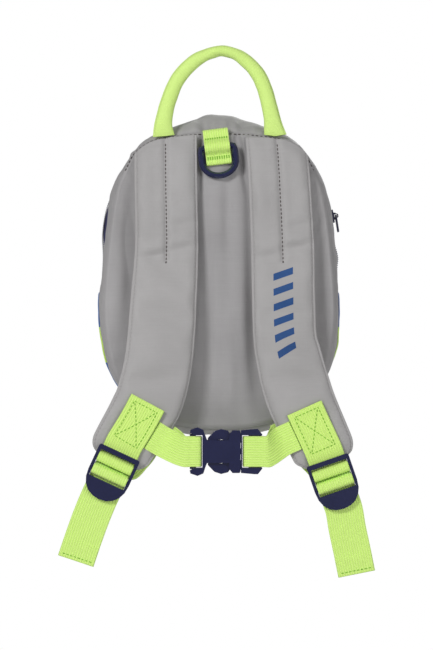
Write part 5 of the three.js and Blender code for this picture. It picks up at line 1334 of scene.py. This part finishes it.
# %% Lock frames and strap webbing
LOWER_LAYER = 2 * GAP + WEB_THICK / 2
UPPER_LAYER = LOWER_LAYER + WEB_THICK + GAP
LOCK_LEVEL = UPPER_LAYER + WEB_THICK / 2 + GAP + LOCK_THICK / 2
BAR_ONE = LOCK_TOP_BAR + LOCK_SLOT
BAR_TWO = BAR_ONE + LOCK_BAR + LOCK_MIDDLE_SLOT
OPENING_END = BAR_TWO + LOCK_BAR + LOCK_SLOT
LOCK_LENGTH = OPENING_END + LOCK_TAB
CLEAR = GAP + WEB_THICK / 2
OVER_BAR = LOCK_BAR_THICK / 2 + CLEAR
BEHIND_LOCK = -LOCK_THICK / 2 - CLEAR
SLOT_LEAN, SLOT_RISE = 0.4 * WEB_THICK, 0.55
LIFT = GAP / 3
TOWARDS_VIEWER = np.array([0.0, -1.0, 0.0])


def lock_frame(side):
    end = strap_at(side, 0)
    at = placed(end, 0, SIDES[side]["lock_drop"], end["thick"] / 2 + LOCK_LEVEL)
    down = unit(end["down"] * (1, 0, 1))
    return dict(at=at, down=down, across=np.array([-down[2], 0, down[0]]), out=TOWARDS_VIEWER)


def crossing(on_lock, down, start, end):
    """Three stations that take the webbing through a slot."""
    return [on_lock(down - SLOT_LEAN, start * SLOT_RISE), on_lock(down, (start + end) / 2),
            on_lock(down + SLOT_LEAN, end * SLOT_RISE)]


def strap_webbing(side):
    lock = lock_frame(side)
    middle = BAR_ONE + LOCK_BAR / 2
    back = BEHIND_LOCK - WEB_THICK - GAP

    def on_lock(down, out):
        return station(placed(lock, 0, down, out), lock["across"])

    def on_strap(above, level):
        base = strap_at(side, above - SIDES[side]["lock_drop"])
        return station(placed(base, 0, 0, base["thick"] / 2 + level), base["across"])

    edge = BAR_ONE + LOCK_BAR
    near, far = edge + WEB_THICK / 4, edge + WEB_THICK
    run = band_run([
        on_strap(SEWN_LENGTH, UPPER_LAYER), on_strap(SEWN_LENGTH * 0.7, UPPER_LAYER),
        on_strap(SEWN_LENGTH * 0.42, UPPER_LAYER), on_lock(-SEWN_LENGTH * 0.16, BEHIND_LOCK),
        on_lock(0, BEHIND_LOCK), on_lock(LOCK_TOP_BAR + 2 * GAP, BEHIND_LOCK - LIFT),
        *crossing(on_lock, BAR_ONE - LOCK_SLOT / 2, BEHIND_LOCK, OVER_BAR),
        on_lock(BAR_ONE - LOCK_BAR / 5, OVER_BAR - LIFT), on_lock(middle, OVER_BAR + LIFT),
        on_lock(near, OVER_BAR - LIFT), on_lock(far - LIFT, OVER_BAR / 2), on_lock(far, 0),
        on_lock(far - LIFT, -OVER_BAR / 2), on_lock(near, -OVER_BAR + LIFT),
        on_lock(middle, -OVER_BAR - 2 * LIFT), on_lock(BAR_ONE - WEB_THICK / 4, -OVER_BAR - 7 * LIFT),
        on_lock(LOCK_TOP_BAR + 0.3 * LOCK_SLOT, back + 5 * LIFT), on_lock(0.75 * LOCK_TOP_BAR, back),
        on_lock(-SEWN_LENGTH * 0.16, back), on_strap(SEWN_LENGTH * 0.42, LOWER_LAYER),
        on_strap(SEWN_LENGTH * 0.7, LOWER_LAYER), on_strap(SEWN_LENGTH * 0.98, LOWER_LAYER)])
    woven_band(f"strap_webbing_{side}_woven", run, WEB_WIDTH + WEB_FULL, f"strap_webbing_{side}",
               load_webbing)
    return run


BOX_FROM, BOX_TO, BOX_IN, CROSS_IN = 4, 37, 4.5, 1
box_lines = []
for side in SIDES:
    run = strap_webbing(side)
    half = WEB_WIDTH / 2 - BOX_IN
    start, end, reach = BOX_FROM + CROSS_IN, BOX_TO - CROSS_IN, half - CROSS_IN
    box = [(BOX_FROM, -half), (BOX_FROM, half), (BOX_TO, half), (BOX_TO, -half), (BOX_FROM, -half)]
    crosses = [[(start, -reach), (end, reach)], [(start, reach), (end, -reach)]]
    box_lines += [sewn_path(run, corners) for corners in (box, *crosses)]
    print("strap webbing", side, round(float(run["length"][-1])), "mm")
stitch_rows("box_stitches", box_lines, lime_thread)

# %% [markdown]
# The lower webbing starts at the bag's bottom corner, comes up behind the lock, goes over its second bar and
# hangs down as a tail whose end is folded and hemmed. Pulling the tail is what shortens the strap.

# %% Lower webbing and tails
HEM_ROW, HEM_IN = 3, 2  # mm from the tail's end to its stitches, and from its sides


def anchor_frame(side):
    sign = -SIDES[side]["inner"]
    line = seam_at(np.linspace(0.25, 0.5, 400))
    near = int(np.argmin(np.abs(line[:, 0] - ANCHOR_OUT * PANEL_WIDTH / 2)))
    at = line[near]
    along = unit(line[near + 1] - line[near - 1])
    down = np.array([-along[1], along[0]])
    down = down if down[1] < 0 else -down
    return dict(at=np.array([sign * at[0], -PANEL_WALL / 2, at[1]]),
                down=np.array([sign * down[0], 0, down[1]]),
                across=np.array([-down[1], 0, sign * down[0]]), out=TOWARDS_VIEWER)


def adjuster_webbing(side):
    lock, anchor, facts = lock_frame(side), anchor_frame(side), SIDES[side]
    through_from = BAR_TWO - LOCK_MIDDLE_SLOT * 0.33
    through_to = OPENING_END - 0.54 * LOCK_SLOT
    behind = lock["at"][1] - anchor["at"][1]
    first, second, third = (facts["inner"] * share for share in facts["slant"])

    def on_lock(across, down, out, thick=WEB_THICK):
        return station(placed(lock, across, down, out), lock["across"], thick)

    def straight(down, out):
        return on_lock(0, down, out)

    def hem(share, thick):
        downs, aside = zip(*facts["tail"][-2:])
        across = float(np.interp(share, downs, aside))
        return on_lock(across * TAIL_LENGTH, share * TAIL_LENGTH, BEHIND_LOCK + 2 * GAP, thick)

    hem_top = 1 - HEM_LENGTH / TAIL_LENGTH
    tail = [on_lock(across * TAIL_LENGTH, down * TAIL_LENGTH, BEHIND_LOCK + index * GAP)
            for index, (down, across) in enumerate(facts["tail"][:-1])]
    run = band_run([
        station(placed(anchor, 0, GAP + WEB_THICK / 4, 0), anchor["across"]),
        station(placed(anchor, 0, 0.3 * WEB_WIDTH, 2.5 * WEB_THICK), anchor["across"]),
        on_lock(first * WEB_WIDTH, -0.3 * WEB_WIDTH, behind * 0.7),
        on_lock(second * WEB_WIDTH, 0.25 * LOCK_TOP_BAR, behind * 0.56),
        on_lock(third * WEB_WIDTH, max(BAR_ONE + WEB_THICK, WEB_THICK - facts["lock_drop"]), behind * 0.36),
        on_lock(0, BAR_TWO - 0.65 * LOCK_MIDDLE_SLOT, -LOCK_THICK - WEB_THICK),
        on_lock(0, through_from - WEB_THICK * 0.6, -LOCK_BAR_THICK - 2 * GAP),
        *crossing(straight, through_from, BEHIND_LOCK, OVER_BAR),
        straight(BAR_TWO - WEB_THICK / 2, OVER_BAR), straight(BAR_TWO + LOCK_BAR / 2, OVER_BAR + LIFT),
        straight(BAR_TWO + LOCK_BAR + 2 * LIFT, OVER_BAR),
        *crossing(straight, through_to, OVER_BAR, BEHIND_LOCK),
        straight(OPENING_END - WEB_THICK / 4, BEHIND_LOCK - LIFT),
        straight(OPENING_END + 0.27 * LOCK_TAB, BEHIND_LOCK - 2 * LIFT),
        straight(LOCK_LENGTH + WEB_THICK / 2, BEHIND_LOCK - LIFT), *tail,
        hem(hem_top - 0.005, WEB_THICK), hem(hem_top + 0.005, WEB_THICK * 2), hem(1, WEB_THICK * 2)],
        front=-1)
    woven_band(f"adjuster_webbing_{side}_woven", run, WEB_WIDTH + WEB_FULL, f"adjuster_webbing_{side}")
    return run


hem_lines = []
for side in SIDES:
    run = adjuster_webbing(side)
    end = float(run["length"][-1])
    half = WEB_WIDTH / 2 - HEM_IN
    hem_lines.append(sewn_path(run, [(end - HEM_ROW, -half), (end - HEM_ROW, half)]))
    print("lower webbing", side, round(end), "mm")
stitch_rows("hem_stitches", hem_lines, lime_thread)

# %% [markdown]
# The chest webbing leaves each strap's inner edge, goes over the bar of its buckle half, through the slot
# and back behind itself. In the slot it lies towards the buckle's middle, so some of the slot shows.

# %% Chest webbing
HALF_LENGTH = BUCKLE_LENGTH / 2
MOUTH = 0.41 * HALF_LENGTH
FEMALE_SLOT, MALE_SLOT = -0.8 * HALF_LENGTH, MOUTH + GAP + 1
FEMALE_BAR, MALE_BAR = -0.97 * HALF_LENGTH, HALF_LENGTH
ASIDE_IN_SLOT = 1.6  # mm from the slot's middle to the webbing in it
UP = np.array([0.0, 0.0, 1.0])


def buckle_frame():
    left, right = lock_frame("left")["at"], lock_frame("right")["at"]
    return dict(at=(left + right) / 2 + (BUCKLE_ASIDE, 0, BUCKLE_RISE), across=np.array([1.0, 0, 0]),
                down=-UP, out=TOWARDS_VIEWER)


def chest_webbing(side, bar_far, slot):
    inner, height = SIDES[side]["inner"], SIDES[side]["chest_above"]
    strap, above = strap_at(side, height), strap_at(side, height + CHEST_SLACK)
    buckle = buckle_frame()
    over = BUCKLE_BAR_THICK / 2 + CLEAR
    to_slot = math.copysign(1, slot + BUCKLE_SLOT / 2 - bar_far)
    slot_middle = slot + BUCKLE_SLOT / 2 + to_slot * ASIDE_IN_SLOT
    edge, turn = to_slot * 0.45 * BUCKLE_SLOT, to_slot * 0.3 * WEB_THICK
    inside, before = to_slot * 0.6 * WEB_THICK, to_slot * 2.5 * WEB_THICK

    def on_strap(base, across, lift, skew):
        return station(placed(base, inner * across, 0, lift), -base["down"], WEB_THICK, skew)

    def on_bar(along, out):
        return station(placed(buckle, along, 0, out), UP, WEB_THICK, 1)

    face = strap["thick"] / 2 + CLEAR
    run = band_run([
        on_strap(strap, WEB_WIDTH / 2 + 2 * GAP, face + WEB_THICK / 2, 1),
        on_strap(strap, strap["half"] + WEB_THICK * 0.6, face + WEB_THICK * 0.6, 0.6),
        on_bar(bar_far - before, over + GAP), on_bar(bar_far + inside, over),
        on_bar(slot_middle - edge, over), on_bar(slot_middle - turn, over * 0.75), on_bar(slot_middle, 0),
        on_bar(slot_middle - turn, -over * 0.75), on_bar(slot_middle - edge, -over),
        on_bar(bar_far + inside, -over), on_bar(bar_far - before, -over - GAP * 1.6),
        on_strap(above, strap["half"] + WEB_THICK, face - WEB_THICK * 3.2, 1)])
    woven_band(f"chest_webbing_{side}_woven", run, CHEST_WIDTH, f"chest_webbing_{side}")
    print("chest webbing", side, round(float(run["length"][-1])), "mm")


chest_webbing("left", FEMALE_BAR, FEMALE_SLOT)
chest_webbing("right", MALE_BAR, MALE_SLOT)

# %% [markdown]
# ## Handle and ring tab
# The handle is webbing folded round and sewn into a tube. It goes flat where its ends enter the seam, and
# it is pinched under the hook.

# %% Handle
HANDLE_STEPS, HANDLE_SIDES = 300, 44
HANDLE_PINCH, HANDLE_SEAM = 16, 0.44  # mm of the tube that the hook creases, and its seam's place round it
SAMPLE_RADIUS, GIRTH_RUN = 6, 5.5  # mm: where the ruffles are read, and the tube's own coordinate round it


def handle():
    last = len(HANDLE_ROUTE) - 1
    half = HANDLE_SPAN / 2
    foot = float(seam_height(half)) + GAP
    at = np.linspace(0, last, HANDLE_STEPS)

    def middle_at(where):
        across, rise, fore = (between(HANDLE_ROUTE[:, column], where) for column in (0, 1, 4))
        return np.stack([across * half, -fore * HANDLE_DEPTH, foot + (SEAM_TOP + HANDLE_RISE - foot) * rise],
                        axis=1)

    middle = middle_at(at)
    along = unit(middle_at(np.minimum(at + 0.25, last)) - middle_at(np.maximum(at - 0.25, 0)))
    across = unit(np.cross(along, TOWARDS_VIEWER))
    fore = unit(np.cross(across, along))
    wide = between(HANDLE_ROUTE[:, 2], at) * HANDLE_WIDTH / 2
    thick = between(HANDLE_ROUTE[:, 3], at) * HANDLE_DEPTH / 2
    angle = (np.arange(HANDLE_SIDES) + 0.5) / HANDLE_SIDES * 2 * math.pi
    length = lengths_along(middle)
    round_x, round_y = np.cos(angle)[None], np.sin(angle)[None]
    sample = np.stack(np.broadcast_arrays(round_x * SAMPLE_RADIUS, round_y * SAMPLE_RADIUS, length[:, None]),
                      axis=2)
    apex = bell(length - length[-1] * 0.5, HANDLE_PINCH)[:, None]
    swell = 1 + ruffle(sample, 9, 41) * (0.05 + 0.1 * apex)
    seam = 1 - 0.1 * bell(apart(angle / (2 * math.pi), HANDLE_SEAM)[None] * 2 * math.pi * 5, 0.8)
    ring = (middle[:, None] + across[:, None] * (round_x * wide[:, None] * swell * seam)[:, :, None]
            + fore[:, None] * (round_y * thick[:, None] * swell * seam)[:, :, None])
    ring[:, :, 2] = np.maximum(ring[:, :, 2], seam_height(ring[:, :, 0]) + GAP)
    points = ring.reshape(-1, 3)
    faces = grid_faces(HANDLE_STEPS, HANDLE_SIDES, wrap_columns=True) + end_faces(HANDLE_STEPS, HANDLE_SIDES)
    uv = np.stack([np.tile(angle * GIRTH_RUN, HANDLE_STEPS), np.repeat(length, HANDLE_SIDES)], axis=1)
    return mesh_piece("handle_tube", points, facing_out(points, faces), handle_webbing, "bag",
                      ["handle"], uv)


handle_tube = handle()
print("handle", len(handle_tube.data.polygons), "faces")

# %% [markdown]
# The ring hangs in a loop of webbing whose two layers are sewn into the seam. Two rows of stitches hold the
# loop above the ring and three close its folded end below.

# %% Ring tab
TAB_ROWS = (-7.4, -6.4, 8.2, 9.2, 10.2)  # mm below the ring's bar
TAB_ROW_IN = 0.9
BAR_HEIGHT = SEAM_TOP - TAB_DROP
BAR_OUT = min(float(panel_face(0, BAR_HEIGHT)) - 2 * GAP - WEB_THICK,
              float(panel_face(0, BAR_HEIGHT - RING_DROP)) - 2 * GAP) - RING_WIRE / 2
ROLL = math.radians(TAB_ROLL)


def ring_frame():
    return dict(at=np.array([TAB_ASIDE, BAR_OUT, BAR_HEIGHT]),
                across=np.array([math.cos(ROLL), 0, math.sin(ROLL)]),
                down=np.array([math.sin(ROLL), 0, -math.cos(ROLL)]), out=TOWARDS_VIEWER)


def ring_tab():
    base = ring_frame()
    turn = RING_WIRE / 2 + 2 * GAP + WEB_THICK / 2

    def at(down, y):
        point = placed(base, 0, down, 0)
        point[1] = y
        return station(point, base["across"])

    def round_bar(degrees):
        angle = math.radians(degrees)
        return at(turn * math.sin(angle), base["at"][1] - turn * math.cos(angle))

    def back_layer(down):
        return float(panel_face(0, BAR_HEIGHT - down)) - GAP - WEB_THICK / 2

    def front_layer(down):
        return back_layer(down) - GAP - WEB_THICK

    top = -TAB_DROP / math.cos(ROLL)
    foot, fold = top + 2 * WEB_THICK, TAB_LENGTH - TAB_DROP
    beside, bend = turn + 1.6 * WEB_THICK, (GAP + WEB_THICK) / 2
    run = band_run([
        at(top - WEB_THICK - 4 * GAP, -WEB_THICK / 3),
        at(top - WEB_THICK / 2 - 2 * GAP, front_layer(top) + WEB_THICK / 2), at(foot, front_layer(foot)),
        at(-beside, front_layer(-beside) - GAP), *[round_bar(a) for a in (-44, -15, 15, 44)],
        at(beside, front_layer(beside) - GAP), at(fold - 2 * bend, front_layer(fold)),
        at(fold - bend * 0.3, back_layer(fold) - 1.7 * bend), at(fold, back_layer(fold) - bend),
        at(fold - bend * 0.3, back_layer(fold) - 0.3 * bend), at(fold - 2 * bend, back_layer(fold)),
        at(beside, back_layer(beside)), at(0, back_layer(0)), at(foot, back_layer(foot))],
        step=0.8, front=20)
    woven_band("ring_tab_woven", run, TAB_WIDTH, "ring_tab")
    return run


tab_run = ring_tab()
tab_down = (tab_run["middle"] - ring_frame()["at"]) @ ring_frame()["down"]
tab_front = int(np.argmax(tab_down))
half = TAB_WIDTH / 2 - TAB_ROW_IN
tab_lines = []
for down in TAB_ROWS:
    along = float(np.interp(down, tab_down[:tab_front], tab_run["length"][:tab_front]))
    tab_lines.append(sewn_path(tab_run, [(along, -half), (along, half)]))
stitch_rows("tab_stitches", tab_lines, lime_thread, stitch=1.3, gap=0.5)
print("ring tab", round(float(tab_run["length"][-1])), "mm of webbing")

# %% [markdown]
# ## Hard fittings
# The locks, the buckle, the ring and the zip's slider keep their CAD shape. Moulded edges are never sharp,
# so each but the ring, which is round already, gets a small rounded bevel before its finish.

# %% Fittings
# the finish of each fitting and the width of its rounded edges in mm; the ring is round already
FITTINGS = {
    "ladder_lock_left": (plastic, 0.6), "ladder_lock_right": (plastic, 0.6),
    "buckle_female": (plastic, 0.5), "buckle_male": (plastic, 0.5), "d_ring": (plastic, 0),
    "zip_slider": (zip_paint, 0.25), "zip_puller": (zip_paint, 0.25),
}
WELD_REACH, SHARP_FROM = 0.02, 32  # mm, degrees
for name, (finish, edge) in FITTINGS.items():
    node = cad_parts[name]
    for slot_of in node.material_slots:
        slot_of.material = finish
    weld = node.modifiers.new("weld", "WELD")
    weld.merge_threshold = WELD_REACH * MM
    if edge:
        bevel = node.modifiers.new("edges", "BEVEL")
        bevel.width = edge * MM
        bevel.segments = 3
        bevel.limit_method = "ANGLE"
        bevel.angle_limit = math.radians(SHARP_FROM)
        bevel.harden_normals = True
print("fittings finished:", len(FITTINGS))
